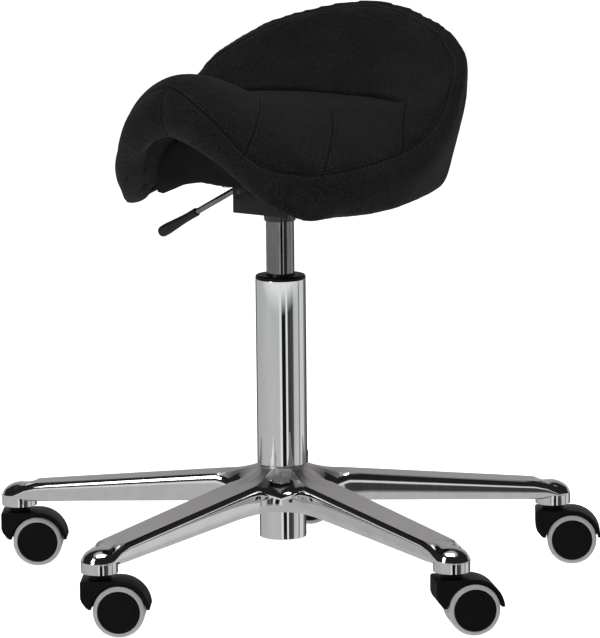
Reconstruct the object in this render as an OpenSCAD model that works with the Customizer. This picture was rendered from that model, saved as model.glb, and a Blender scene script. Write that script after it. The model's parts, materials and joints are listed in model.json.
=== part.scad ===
// Saddle stool for a dentist: padded saddle seat on a gas spring, polished five-arm base, twin-wheel castors.
// Units are millimetres. +Z is up, -Y is the front of the seat, +X is the sitter's left.
// The origin is on the floor, under the axis of the column.

/* [Base] */
// Radius of the circle that the castor stems stand on
stem_circle_r = 286; // [240:1:320]
// Width of an arm at its outer end
arm_end_w = 36; // [32:1:44]
// Widening of an arm towards the hub, in degrees per side
arm_flare = 0.5; // [0:0.1:1.5]
// Radius of the round between two neighbouring arms
arm_gap_round = 27; // [20:1:36]
// Fall of the arm's top face, in degrees
arm_slope = 6.4; // [3:0.1:8]
// Depth of an arm at its outer end
arm_end_depth = 16.5; // [14:0.5:22]
// Depth of an arm where it leaves the hub
arm_root_depth = 27; // [22:0.5:34]
// Thickness of the casting's top skin
arm_skin = 4; // [3:0.5:6]
// Thickness of the casting's side walls
arm_wall = 5; // [4:0.5:7]
// Height of the round boss under the end of an arm
boss_h = 7.2; // [5:0.1:12]

/* [Column] */
// Outer diameter of the column tube
column_d = 50; // [46:0.5:54]
// Wall of the column tube
column_wall = 1.5; // [1.2:0.1:2]
// Length of the column tube above the base
column_out = 187.34; // [170:0.01:230]
// Length of the tube's foot below the hub
column_foot_out = 31; // [24:1:34]
// Diameter of the tapered foot of the tube, at its lower end
column_foot_d = 46.4; // [44:0.1:47]
// Growth of the tapered foot's diameter up to its shoulder
column_foot_taper = 0.8; // [0.4:0.1:1.6]
// Height of the collar of the guide bush
bush_collar_h = 4; // [3:0.5:8]
// Length of the guide bush inside the tube
bush_length = 110; // [90:5:130]

/* [Gas spring] */
// Diameter of the gas cylinder
cylinder_d = 28; // [24:0.5:30]
// Wall of the gas cylinder
cylinder_wall = 1.6; // [1.2:0.1:2]
// Diameter of the piston rod
rod_d = 10; // [8:0.5:12]
// Length of cylinder that stands out of the column at the modelled height
cylinder_out = 56; // [50:1:60]
// Travel of the seat below the modelled height
travel_down = 50; // [20:1:50]
// Travel of the seat above the modelled height
travel_up = 80; // [40:1:80]
// Diameter of the release pin
release_pin_d = 8; // [6:0.5:9]

/* [Seat] */
// Width of the seat
seat_w = 352; // [320:1:390]
// Length of the seat from the front of the pommel to the back of the rim
seat_l = 349; // [320:1:390]
// Distance from the column axis back to the middle of the seat
seat_back = 8; // [0:1:16]
// Thickness of the seat shell
shell_t = 9; // [7:0.5:12]
// Thickness of the cover fabric with its backing
cover_t = 1.5; // [1:0.25:2.5]
// Thickness of the dust cover under the shell
liner_t = 1.2; // [0.8:0.1:2]

/* [Mechanism] */
// Width of the mechanism box
box_w = 58; // [54:1:80]
// Length of the mechanism box
box_l = 90; // [84:1:110]
// Distance from the column axis to the front of the mechanism box
box_front = 38; // [34:1:44]
// Height of the mechanism box
box_h = 29; // [27:1:31]
// Thickness of the box's sheet steel
box_sheet = 2.5; // [2:0.25:3]
// Length of a side of the square seat plate
plate_side = 96; // [90:1:106]
// Thickness of the seat plate
plate_t = 4; // [3:0.5:5]
// Spacing of the four seat bolts, centre to centre
bolt_pitch = 74; // [66:1:76]
// Diameter of the seat bolts
bolt_d = 6; // [5:0.5:8]
// Droop of the lever below the horizontal, in degrees
lever_droop = 28; // [15:1:32]
// Diameter of the lever rod
lever_rod_d = 6; // [5:0.5:7]
// Length of the lever's grip
grip_length = 54; // [45:1:60]
// Diameter of the grip at its outer end
grip_end_d = 11.5; // [10:0.5:14]
// Distance from the column axis to the tip of the lever, across the stool
lever_reach = 145; // [130:1:170]

/* [Castors] */
// Diameter of a castor wheel
wheel_d = 50; // [46:0.5:51]
// Width of one wheel
wheel_w = 18; // [14:0.5:20]
// Thickness of the soft tread
tread_t = 4.5; // [3:0.5:6]
// Thickness of the web between the two wheels
castor_web = 6; // [5:0.5:8]
// Width of the castor's hood
hood_w = 36; // [30:1:38]
// Height of the castor's neck, from the top of its hood to the arm
neck_h = 5.65; // [4:0.05:8]
// Thickness of the hood's arch
hood_wall = 3.25; // [2.5:0.25:4]
// Distance from the stem's axis to the wheels' axle
trail = 19; // [17:0.5:20]
// Diameter of the castor stem
stem_d = 11; // [10:0.5:12]
// Depth of the stem's socket in the arm
stem_depth = 19; // [15:0.5:19]
// Diameter of the wheels' axle
axle_d = 6; // [5:0.5:8]

/* [Hidden] */
$fn = 64;

// Clearances and fits
running = 0.08;      // radial clearance of a piece that turns or slides on another
loose = 0.4;         // gap between pieces that pass each other freely
overcut = 1;         // how far a cut runs past the face that it starts from
bend_swell = 0.05;   // how much the lever's rod thickens where it is bent
bend_lap = 0.4;      // how far the rod's straight parts reach into its bend

// ---- Castors ----
castor_turn = [35.3, 46.4, 36.2, 38, 36.4];      // direction that each castor trails in, in degrees
axle_z = wheel_d / 2;
wheel_in = castor_web / 2 + loose;               // inner face of a wheel, from the castor's mid plane
core_r = wheel_d / 2 - tread_t;
hood_in_r = wheel_d / 2 + 1.4;
hood_out_r = hood_in_r + hood_wall;
hood_cut = 2;                                    // the hood ends this far above the axle
hood_top_z = axle_z + hood_out_r;
hood_back = trail + 17.8;                        // from the axle to the back of the hood
boss_bottom_z = hood_top_z + neck_h;
neck_r = stem_d / 2 + 5.5;
hood_neck_z = boss_bottom_z - loose;
stem_foot_z = axle_z + sqrt(pow(wheel_d / 2, 2) - pow(trail, 2)) + 3.5;
axle_half = wheel_in + wheel_w - 4;

// ---- Base ----
arm_count = 5;
arm_step = 360 / arm_count;
half_step = arm_step / 2;
side_dir = 90 - arm_flare;                       // direction of an arm's side face normal
side_c = stem_circle_r * sin(arm_flare) + arm_end_w / 2;
gap_d = (arm_gap_round + side_c) / sin(half_step + arm_flare);
web_dip = 7;                                     // how far the web between two arms lies below their top
edge_in = 3.5;                                   // inset of the edge of the arm's flat top face
hub_r = 28.5;                                    // radius of the socket that holds the tube
hub_rim_r = 26;                                  // radius of the rim round the tube
end_bottom = boss_bottom_z + boss_h;             // underside of an arm at its outer end
arm_end_top = end_bottom + arm_end_depth;
top_at_axis = arm_end_top + stem_circle_r * tan(arm_slope);
hub_swell_r = 62;                                // the arms' top starts to rise towards the tube here
hub_swell_h = 5.5;                               // extra height of the rim round the tube
hub_top_z = top_at_axis - hub_rim_r * tan(arm_slope) + hub_swell_h;
root_r = 85;                                     // where the underside levels out
tail_r = stem_circle_r - 20;                     // where the underside meets the castor boss
root_bottom = top_at_axis - root_r * tan(arm_slope) - arm_root_depth;
hub_bottom_z = root_bottom - 2.55;
pocket_in = hub_r + 7;
pocket_out = stem_circle_r - arm_end_w / 2 - 6;

// ---- Column and gas spring ----
column_bottom_z = hub_bottom_z - column_foot_out;
foot_top_d = column_foot_d + column_foot_taper;
shoulder_z = hub_top_z + 1;                      // the tube grows to its full diameter here
column_in_d = column_d - 2 * column_wall;
foot_in_d = column_foot_d - 2 * column_wall;
floor_t = 5;
column_top_z = shoulder_z + column_out;
collar_top_z = column_top_z + bush_collar_h;
socket_ring_z = collar_top_z + cylinder_out - 2;
bush_bore_d = cylinder_d + 2 * running;
cylinder_overlap = 90;                           // cylinder left in the bush at full height
cylinder_bottom_z = collar_top_z - travel_up - cylinder_overlap;
cylinder_in_d = cylinder_d - 2 * cylinder_wall;
gland_h = 16;
piston_h = 14;
piston_z = cylinder_bottom_z + travel_up + gland_h + 3;
race_d = 24;
race_t = 2;
ball_d = 4;
ball_circle_r = 8.5;
ball_count = 8;
race_z = column_bottom_z + floor_t;
rod_tail = 5;                                    // rod below the floor plate, for its clip
buffer_z = race_z + rod_tail + 3 * race_t + ball_d;
buffer_h = cylinder_bottom_z - travel_down - 1 - buffer_z;
clip_t = 1.2;

// ---- Mechanism ----
socket_neck_h = 7.8;                             // socket between the bare cylinder and the box
box_bottom_z = collar_top_z + cylinder_out + socket_neck_h;
box_top_z = box_bottom_z + box_h;
shell_z = box_top_z + plate_t + liner_t;
socket_d = 36;
cylinder_top_z = box_bottom_z + 12;
valve_h = 9;
pin_up = 5;                                      // release pin above the top of the cylinder
pivot_x = -22;
pivot_d = 5;
lever_y = -10;
lever_z = cylinder_top_z + pin_up + 3.7;
lever_bend_x = -40;
lever_plate_t = 4;
grip_neck_d = lever_rod_d + 2.2;
lever_bend_r = 14;
lever_bend_end = lever_bend_x - lever_bend_r * sin(lever_droop);
tip_run = (lever_reach + lever_bend_end) / cos(lever_droop);

// ---- Seat outline: thirteen values, one every 15 degrees from the front (0) to the back (180) ----
station_step = 15;
crest_r = [184, 186, 177, 163, 156, 157, 162, 173, 175, 164, 154, 148, 147];
crest_z = [106, 80, 35, 22, 23, 30, 43, 72, 107, 136, 152, 161, 164];
side_r = [190, 189, 181, 168, 167, 171, 177, 184, 184, 178, 166, 160, 159];
side_z = [83, 58, 18, 9, 7, 11, 21, 50, 96, 108, 118, 124, 128];
hem_r = [183, 180, 170, 159, 152, 152, 152, 158, 162, 155, 144, 138, 136];
hem_z = [55, 36, -5, -28, -21, -16, -16, -12, -4, 1, 4, 5, 6];
inner_z = [86, 84, 79, 74, 71, 70, 70, 71, 72, 73, 74, 74, 74];
middle_z = [109, 100, 78, 64, 58, 58, 62, 68, 72, 75, 77, 78, 78];
outer_z = [117, 101, 60, 41, 38, 41, 50, 66, 84, 98, 106, 110, 112];
tip_r = [172, 169, 158, 145, 141, 142, 145, 158, 164, 161, 152, 146, 145];
tip_z = [68, 49, 10, -12, -12, -4, 5, 26, 74, 94, 106, 112, 114];
centre_z = 72;
inner_share = 0.3;                               // where the three rings of heights lie, out to the crest
middle_share = 0.6;
outer_share = 0.85;
hem_depth = 22;                                  // width of the padded hem under the seat
flat_r = 86;                                     // radius of the flat of the shell
drawn_w = 352;                                   // width and length that the values above are drawn for
drawn_l = 349;
seat_stations = 48;

// Value of a list of stations at any angle: a smooth curve through the values, alike on both sides
function mirrored(k) = let (m = (k % 24 + 24) % 24) m > 12 ? 24 - m : m;
function curve(a, b, c, d, f) =
    b + 0.5 * f * (c - a + f * (2 * a - 5 * b + 4 * c - d + f * (3 * (b - c) + d - a)));
function at(values, angle) =
    let (t = angle / station_step, i = floor(t), f = t - i)
    curve(values[mirrored(i - 1)], values[mirrored(i)], values[mirrored(i + 1)], values[mirrored(i + 2)], f);

// Points between p[i] and p[i + 1] on the smooth curve through the list p
function span(p, i, steps) = [
    for (k = [0 : steps - 1])
        curve(p[max(i - 1, 0)], p[i], p[i + 1], p[min(i + 2, len(p) - 1)], k / steps)
];
// Unit vector across the line p at the point i, on its right-hand side
function across(p, i) =
    let (v = p[min(i + 1, len(p) - 1)] - p[max(i - 1, 0)]) [v[1], -v[0]] / norm(v);
function inset(p, depth) = [
    for (i = [0 : len(p) - 1]) i == 0 ? p[0] - [0, depth] : p[i] + depth * across(p, i)
];

// Half section of the seat's outside at an angle, from the centre of the top to the inner edge of the hem
function outside_knots(a) =
    let (rc = at(crest_r, a), rh = at(hem_r, a), zh = at(hem_z, a)) [
        [0, centre_z],
        [inner_share * rc, at(inner_z, a)],
        [middle_share * rc, at(middle_z, a)],
        [outer_share * rc, at(outer_z, a)],
        [rc, at(crest_z, a)],
        [at(side_r, a), at(side_z, a)],
        [rh, zh],
        [rh - hem_depth, zh + 8]
    ];
outside_steps = [1, 2, 2, 2, 2, 4, 2];
function outside(a) =
    let (k = outside_knots(a)) [
        for (i = [0 : len(k) - 2], p = span(k, i, outside_steps[i])) p,
        k[len(k) - 1]
    ];
// Half section of the shell's underside at an angle, from its centre to its upturned edge
function shell_knots(a) =
    let (rh = at(hem_r, a), zh = at(hem_z, a)) [
        [flat_r, 0],
        [rh - hem_depth, zh + 8 + cover_t],
        [at(tip_r, a), at(tip_z, a)]
    ];
function shell_under(a) = let (k = shell_knots(a)) concat([[0, 0]], span(k, 0, 2), span(k, 1, 3), [k[2]]);
function shell_over(a) = [for (i = [0 : len(shell_under(a)) - 1])
    let (p = shell_under(a)) i < 2 ? p[i] + [0, shell_t] : p[i] - shell_t * across(p, i)];

// Place of a half-section point [r, z] on the seat, at an angle from the front
function on_seat(p, a) = [
    p[0] * sin(a) * seat_w / drawn_w,
    seat_back - p[0] * cos(a) * seat_l / drawn_l,
    shell_z + p[1]
];
function backwards(p) = [for (i = [len(p) - 1 : -1 : 0]) p[i]];

// Closed solid from half sections that all start and end on the axis
module seat_body(section) {
    n = len(section[0]) - 2;
    s = len(section);
    points = concat(
        [on_seat(section[0][0], 0)],
        [for (j = [0 : s - 1], i = [1 : n]) on_seat(section[j][i], j * 360 / s)],
        [on_seat(section[0][n + 1], 0)]
    );
    last = len(points) - 1;
    faces = concat(
        [for (j = [0 : s - 1]) [0, 1 + j * n, 1 + ((j + 1) % s) * n]],
        [for (j = [0 : s - 1], i = [0 : n - 2], half = [0, 1])
            let (a = 1 + j * n + i, b = 1 + ((j + 1) % s) * n + i,
                 turn = norm(points[a] - points[b + 1]) < norm(points[a + 1] - points[b]))
            half == 0 ? [a, a + 1, turn ? b + 1 : b] : [turn ? a : a + 1, b + 1, b]],
        [for (j = [0 : s - 1]) [last, n + ((j + 1) % s) * n, n + j * n]]
    );
    polyhedron(points, faces);
}
seat_angles = [for (j = [0 : seat_stations - 1]) j * 360 / seat_stations];

// ---- Base ----
function arm_top(r) =
    let (swell = max(hub_swell_r - r, 0) / (hub_swell_r - hub_rim_r))
    top_at_axis - r * tan(arm_slope) + hub_swell_h * swell * swell;
function arm_bottom(r) =
    let (t = min(max((r - root_r) / (tail_r - root_r), 0), 1)) root_bottom + (end_bottom - root_bottom) * t;
function unit(a) = [cos(a), sin(a)];
// One arm's outline from gap to gap: each entry is a point, the direction that it faces, and its share of the gap
gap_turns = [half_step, 52, 68, side_dir];
arm_tip = [stem_circle_r, 0];
gap_centre = gap_d * unit(half_step);
gap_side = [for (a = gap_turns) [gap_centre - arm_gap_round * unit(a), a, (side_dir - a) / (side_dir - half_step)]];
side_start = gap_side[len(gap_turns) - 1][0];
side_end = arm_tip + arm_end_w / 2 * unit(side_dir);
arm_half = concat(
    gap_side,
    [for (f = [0.12, 0.3, 0.5, 0.7, 0.88]) [side_start + f * (side_end - side_start), side_dir, 0]],
    [for (f = [1, 0.75, 0.5, 0.25]) [arm_tip + arm_end_w / 2 * unit(side_dir * f), side_dir * f, 0]],
    [[arm_tip + [arm_end_w / 2, 0], 0, 0]]
);
function flipped(e) = [[e[0][0], -e[0][1]], -e[1], e[2]];
arm_outline = concat(
    [for (i = [0 : len(arm_half) - 1]) flipped(arm_half[i])],
    [for (i = [len(arm_half) - 2 : -1 : 1]) arm_half[i]]
);
function turned(p, a) = [p[0] * cos(a) - p[1] * sin(a), p[0] * sin(a) + p[1] * cos(a)];
star_outline = [for (n = [0 : arm_count - 1], e = arm_outline)
    [turned(e[0], n * arm_step - 90), e[1] + n * arm_step - 90, e[2]]];
// Rings of the star's skin: share of the way out from the hub, inset, share of the height and of the web's dip
star_rings = [
    [0, 0, 1], [0.06, edge_in, 1], [0.18, edge_in, 1], [0.5, edge_in, 1], [1, edge_in, 1],
    [1, 1.3, 0.93], [1, 0, 0.7], [1, 0.6, 0.4], [1, 3, 0.08], [1, 4, 0],
    [0.4, 4, 0], [0, 4, 0]
];
function star_point(e, ring) =
    let (edge = e[0] - ring[1] * unit(e[1]),
         p = edge * (ring[0] + (1 - ring[0]) * hub_rim_r / norm(edge)),
         r = norm(p),
         top = arm_top(r) - web_dip * e[2] * ring[0],
         bottom = arm_bottom(r))
    [p[0], p[1], bottom + (top - bottom) * ring[2]];
module star_skin() {
    n = len(star_rings);
    s = len(star_outline);
    points = concat(
        [for (e = star_outline, ring = star_rings) star_point(e, ring)],
        [[0, 0, hub_top_z], [0, 0, root_bottom]]
    );
    faces = concat(
        [for (j = [0 : s - 1]) [n * s, ((j + 1) % s) * n, j * n]],
        [for (j = [0 : s - 1], i = [0 : n - 2]) [j * n + i, ((j + 1) % s) * n + i, j * n + i + 1]],
        [for (j = [0 : s - 1], i = [0 : n - 2])
            [((j + 1) % s) * n + i, ((j + 1) % s) * n + i + 1, j * n + i + 1]],
        [for (j = [0 : s - 1]) [n * s + 1, j * n + n - 1, ((j + 1) % s) * n + n - 1]]
    );
    polyhedron(points, faces);
}
module each_arm() {
    for (n = [0 : arm_count - 1])
        rotate([0, 0, n * arm_step - 90])
            children();
}
// Hollow under an arm, open downwards
module arm_pocket() {
    root_half = side_c - pocket_in * sin(arm_flare) - arm_wall;
    end_half = side_c - pocket_out * sin(arm_flare) - arm_wall;
    translate([0, 0, top_at_axis - arm_skin])
        rotate([0, arm_slope, 0])
            translate([0, 0, -60])
                linear_extrude(60)
                    polygon([
                        [pocket_in, -root_half * 0.7], [pocket_out, -end_half],
                        [pocket_out, end_half], [pocket_in, root_half * 0.7]
                    ]);
}
module base_star() {
    color("silver")
        difference() {
            union() {
                difference() {
                    star_skin();
                    each_arm()
                        arm_pocket();
                }
                translate([0, 0, hub_bottom_z])
                    cylinder(h = hub_top_z - arm_skin - hub_bottom_z, r = hub_r);
                each_arm()
                    translate([stem_circle_r, 0, boss_bottom_z])
                        cylinder(h = end_bottom - boss_bottom_z + 2, d = arm_end_w);
            }
            tube_foot(0.02, hub_bottom_z - overcut, hub_top_z + overcut);
            each_arm()
                translate([stem_circle_r, 0, boss_bottom_z - overcut])
                    cylinder(h = stem_depth + overcut, d = stem_d + 2 * running);
        }
}
// Tapered outside of the tube's foot between two heights, grown by a gap
function foot_d(z) =
    column_foot_d + (foot_top_d - column_foot_d) * (z - column_bottom_z) / (shoulder_z - column_bottom_z);
module tube_foot(gap, from_z, to_z) {
    translate([0, 0, from_z])
        cylinder(h = to_z - from_z, d1 = foot_d(from_z) + 2 * gap, d2 = foot_d(to_z) + 2 * gap);
}

// ---- Column ----
module column_tube() {
    color("gainsboro")
        rotate_extrude()
            polygon([
                [foot_in_d / 2, column_bottom_z], [column_foot_d / 2 - 0.5, column_bottom_z],
                [column_foot_d / 2, column_bottom_z + 0.5], [foot_top_d / 2, shoulder_z],
                [column_d / 2, shoulder_z + 1], [column_d / 2, column_top_z],
                [column_in_d / 2, column_top_z], [column_in_d / 2, shoulder_z + 8],
                [foot_in_d / 2, shoulder_z + 2]
            ]);
}
module column_floor() {
    color("gray")
        translate([0, 0, column_bottom_z + rod_tail])
            difference() {
                cylinder(h = floor_t, d = foot_in_d);
                translate([0, 0, -overcut])
                    cylinder(h = floor_t + 2 * overcut, d = rod_d + 2 * running);
            }
}
module guide_bush() {
    color("black")
        rotate_extrude()
            polygon([
                [bush_bore_d / 2, column_top_z - bush_length], [column_in_d / 2, column_top_z - bush_length],
                [column_in_d / 2, column_top_z], [column_d / 2, column_top_z],
                [column_d / 2, collar_top_z - 1], [column_d / 2 - 1, collar_top_z],
                [bush_bore_d / 2, collar_top_z]
            ]);
}
module rod_clip() {
    color("dimgray")
        translate([0, 0, column_bottom_z + rod_tail - clip_t])
            difference() {
                cylinder(h = clip_t, d = rod_d + 8);
                translate([0, 0, -overcut])
                    cylinder(h = clip_t + 2 * overcut, d = rod_d + 2 * running);
                translate([0, -rod_d / 2 + 1, -overcut])
                    cube([rod_d, rod_d - 2, clip_t + 2 * overcut]);
            }
}
module race(z) {
    translate([0, 0, z])
        difference() {
            cylinder(h = race_t, d = race_d);
            translate([0, 0, -overcut])
                cylinder(h = race_t + 2 * overcut, d = rod_d + 2 * running);
        }
}
module bearing_lower_race() {
    color("lightgray")
        race(race_z + rod_tail);
}

// ---- Turning part of the gas spring ----
module piston_rod() {
    color("silver")
        union() {
            translate([0, 0, column_bottom_z])
                cylinder(h = piston_z - column_bottom_z + piston_h, d = rod_d);
            translate([0, 0, race_z + rod_tail + race_t + ball_d + 2 * loose])
                cylinder(h = race_t, d = race_d);
        }
}
module piston() {
    color("goldenrod")
        translate([0, 0, piston_z])
            difference() {
                cylinder(h = piston_h, d = cylinder_in_d - 2 * running);
                translate([0, 0, -overcut])
                    cylinder(h = piston_h + 2 * overcut, d = rod_d);
            }
}
module bearing_balls() {
    color("lightgray")
        for (i = [0 : ball_count - 1])
            rotate([0, 0, i * 360 / ball_count])
                translate([ball_circle_r, 0, race_z + rod_tail + race_t + ball_d / 2 + loose])
                    sphere(d = ball_d);
}
module rubber_buffer() {
    color("darkslategray")
        translate([0, 0, buffer_z])
            difference() {
                cylinder(h = buffer_h, d = race_d);
                translate([0, 0, -overcut])
                    cylinder(h = buffer_h + 2 * overcut, d = rod_d);
            }
}

// ---- Lifting part of the gas spring ----
module gas_cylinder() {
    color("dimgray")
        rotate_extrude()
            polygon([
                [cylinder_in_d / 2, cylinder_bottom_z], [cylinder_d / 2 - 0.5, cylinder_bottom_z],
                [cylinder_d / 2, cylinder_bottom_z + 0.5], [cylinder_d / 2, box_bottom_z - 2],
                [cylinder_d / 2 - 0.6, cylinder_top_z], [cylinder_in_d / 2, cylinder_top_z]
            ]);
}
module cylinder_gland() {
    color("black")
        translate([0, 0, cylinder_bottom_z])
            difference() {
                cylinder(h = gland_h, d = cylinder_in_d);
                translate([0, 0, -overcut])
                    cylinder(h = gland_h + 2 * overcut, d = rod_d + 2 * running);
            }
}
module cylinder_valve() {
    color("goldenrod")
        translate([0, 0, cylinder_top_z - valve_h])
            difference() {
                cylinder(h = valve_h, d = cylinder_in_d);
                translate([0, 0, -overcut])
                    cylinder(h = valve_h + 2 * overcut, d = release_pin_d + 2 * running);
            }
}
module release_pin() {
    color("lightgray")
        translate([0, 0, cylinder_top_z - valve_h + 1])
            cylinder(h = valve_h - 1 + pin_up, d = release_pin_d);
}

// ---- Mechanism ----
module taper_socket() {
    color("dimgray")
        rotate_extrude()
            polygon([
                [cylinder_d / 2 + 0.02, socket_ring_z], [cylinder_d / 2 + 1.6, socket_ring_z],
                [cylinder_d / 2 + 1.6, socket_ring_z + 2], [socket_d / 2 - 2, socket_ring_z + 2],
                [socket_d / 2 - 2, box_bottom_z], [socket_d / 2, box_bottom_z],
                [socket_d / 2, cylinder_top_z], [cylinder_d / 2 - 0.5, cylinder_top_z],
                [cylinder_d / 2 + 0.02, box_bottom_z - 2]
            ]);
}
module mechanism_box() {
    color("slategray")
        difference() {
            translate([-box_w / 2, -box_front, box_bottom_z])
                cube([box_w, box_l, box_h]);
            translate([-box_w / 2 + box_sheet, -box_front + box_sheet, box_bottom_z + box_sheet])
                cube([box_w - 2 * box_sheet, box_l - 2 * box_sheet, box_h]);
            translate([0, 0, box_bottom_z - overcut])
                cylinder(h = box_sheet + 2 * overcut, d = socket_d);
            translate([-box_w / 2 - overcut, lever_y - 6, lever_z - 8])
                cube([box_sheet + 2 * overcut, 12, 16]);
            translate([pivot_x, -box_front - overcut, lever_z])
                rotate([-90, 0, 0])
                    cylinder(h = box_l + 2 * overcut, d = pivot_d);
        }
}
module lever_pivot_pin() {
    color("lightgray")
        translate([pivot_x, -box_front, lever_z])
            rotate([-90, 0, 0])
                cylinder(h = box_l, d = pivot_d);
}
module bolt_places() {
    for (x = [-1, 1], y = [-1, 1])
        translate([x * bolt_pitch / 2, y * bolt_pitch / 2, 0])
            children();
}
module seat_plate() {
    color("slategray")
        translate([0, 0, box_top_z])
            difference() {
                translate([-plate_side / 2, -plate_side / 2, 0])
                    cube([plate_side, plate_side, plate_t]);
                bolt_places()
                    translate([0, 0, -overcut])
                        cylinder(h = plate_t + 2 * overcut, d = bolt_d + 1);
            }
}
module seat_bolts() {
    color("lightgray")
        bolt_places()
            translate([0, 0, box_top_z])
                union() {
                    translate([0, 0, -bolt_d * 0.7])
                        cylinder(h = bolt_d * 0.7, d = bolt_d * 1.7);
                    cylinder(h = plate_t + liner_t + shell_t - 1, d = bolt_d);
                }
}
module bolt_inserts() {
    color("goldenrod")
        bolt_places()
            translate([0, 0, shell_z])
                difference() {
                    cylinder(h = shell_t, d = bolt_d + 4);
                    translate([0, 0, -overcut])
                        cylinder(h = shell_t + 2 * overcut, d = bolt_d);
                }
}

// ---- Lever ----
module lever_arm() {
    color("dimgray")
        translate([0, lever_y, lever_z])
            difference() {
                rotate([90, 0, 0])
                    translate([0, 0, -lever_plate_t / 2])
                        linear_extrude(lever_plate_t)
                            polygon([
                                [lever_bend_x + 4, -3.2], [pivot_x - 3, -5], [pivot_x + 5, -5],
                                [-5, -3.2], [1.5, -3.2], [1.5, 1], [pivot_x + 6, 5],
                                [pivot_x - 5, 5], [lever_bend_x + 4, 3.2]
                            ]);
                translate([pivot_x, -lever_plate_t, 0])
                    rotate([-90, 0, 0])
                        cylinder(h = 2 * lever_plate_t, d = pivot_d + 2 * running);
            }
}
// Axis of the lever's drooping part, from the bend outwards
module along_lever() {
    translate([lever_bend_end, lever_y, lever_z - lever_bend_r * (1 - cos(lever_droop))])
        rotate([0, -90 - lever_droop, 0])
            children();
}
module lever_rod() {
    color("silver")
        union() {
            translate([lever_bend_x + 4, lever_y, lever_z])
                rotate([0, -90, 0])
                    cylinder(h = 4 + bend_lap, d = lever_rod_d);
            translate([lever_bend_x, lever_y, lever_z - lever_bend_r])
                rotate([90, 0, 0])
                    rotate([0, 0, 90])
                        rotate_extrude(angle = lever_droop)
                            translate([lever_bend_r, 0])
                                circle(d = lever_rod_d + 2 * bend_swell);
            along_lever()
                translate([0, 0, -bend_lap])
                    cylinder(h = tip_run - 8 + bend_lap, d = lever_rod_d);
        }
}
module lever_grip() {
    color("black")
        along_lever()
            translate([0, 0, tip_run - grip_length])
                difference() {
                    rotate_extrude()
                        polygon([
                            [0, 0], [grip_neck_d / 2, 0], [grip_neck_d / 2, grip_length * 0.35],
                            [grip_end_d / 2, grip_length * 0.75], [grip_end_d / 2, grip_length - 3],
                            [grip_end_d / 2 - 2.5, grip_length], [0, grip_length]
                        ]);
                    translate([0, 0, -overcut])
                        cylinder(h = grip_length - 8 + overcut, d = lever_rod_d);
                }
}

// ---- Seat ----
module seat_shell() {
    color("burlywood")
        difference() {
            seat_body([for (a = seat_angles) backwards(concat(shell_under(a), backwards(shell_over(a))))]);
            bolt_places()
                translate([0, 0, shell_z - overcut])
                    cylinder(h = shell_t + 2 * overcut, d = bolt_d + 4);
        }
}
module seat_foam() {
    color("khaki")
        seat_body([for (a = seat_angles) let (u = shell_under(a)) concat(
            inset(outside(a), cover_t),
            [for (i = [len(u) - 3 : len(u) - 1]) u[i]],
            backwards(shell_over(a))
        )]);
}
module seat_cover() {
    color("black")
        seat_body([for (a = seat_angles) concat(outside(a), backwards(inset(outside(a), cover_t)))]);
}
module dust_cover() {
    color("darkslategray")
        translate([0, 0, shell_z - liner_t])
            difference() {
                translate([0, seat_back, 0])
                    cylinder(h = liner_t, r = flat_r);
                translate([-plate_side / 2, -plate_side / 2, -overcut])
                    cube([plate_side, plate_side, liner_t + 2 * overcut]);
            }
}

// ---- Castors ----
// Castor frame: origin on the floor under the stem, wheels trail towards +X
module at_castor(n) {
    rotate([0, 0, n * arm_step - 90])
        translate([stem_circle_r, 0, 0])
            rotate([0, 0, castor_turn[n] + 90 - n * arm_step])
                children();
}
module castor_stems() {
    color("lightgray")
        for (n = [0 : arm_count - 1])
            at_castor(n)
                difference() {
                    translate([0, 0, stem_foot_z])
                        cylinder(h = boss_bottom_z + stem_depth - 1 - stem_foot_z, d = stem_d);
                    translate([0, 0, boss_bottom_z + stem_depth - 6])
                        rotate_extrude()
                            translate([stem_d / 2 - 0.8, 0])
                                square([2, 1.6]);
                }
}
module stem_grip_rings() {
    color("dimgray")
        for (n = [0 : arm_count - 1])
            at_castor(n)
                translate([0, 0, boss_bottom_z + stem_depth - 5.8])
                    difference() {
                        cylinder(h = 1.2, d = stem_d + running);
                        translate([0, 0, -overcut])
                            cylinder(h = 1.2 + 2 * overcut, d = stem_d - 1.2);
                        translate([0, -1.5, -overcut])
                            cube([stem_d, 3, 1.2 + 2 * overcut]);
                    }
}
// Side view of the hood: x runs back from the axle, y is the height above the axle
module hood_side() {
    difference() {
        union() {
            intersection() {
                circle(r = hood_out_r);
                translate([-hood_out_r, hood_cut])
                    square([2 * hood_out_r, 2 * hood_out_r]);
            }
            polygon([
                [-hood_back, 13], [-hood_back + 1.5, 9], [-hood_back + 6, hood_cut + 1], [-hood_in_r, hood_cut],
                [0, hood_cut], [0, hood_out_r], [-hood_back + 1.5, hood_out_r], [-hood_back, hood_out_r - 1.5]
            ]);
        }
        circle(r = hood_in_r);
    }
}
module castor_hood(n) {
    color("black")
        at_castor(n)
            difference() {
                union() {
                    translate([trail, hood_w / 2, axle_z])
                        rotate([90, 0, 0])
                            linear_extrude(hood_w)
                                hood_side();
                    translate([trail, castor_web / 2, axle_z])
                        rotate([90, 0, 0])
                            linear_extrude(castor_web)
                                difference() {
                                    union() {
                                        intersection() {
                                            circle(r = hood_in_r + 1);
                                            translate([-hood_out_r, hood_cut])
                                                square([2 * hood_out_r, 2 * hood_out_r]);
                                        }
                                        circle(r = axle_d / 2 + 6);
                                    }
                                    circle(d = axle_d);
                                }
                    translate([0, 0, hood_top_z - 2])
                        cylinder(h = hood_neck_z - hood_top_z + 2, r = neck_r);
                }
                translate([0, 0, stem_foot_z - loose])
                    cylinder(h = hood_neck_z, d = stem_d + 2 * running);
            }
}
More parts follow.
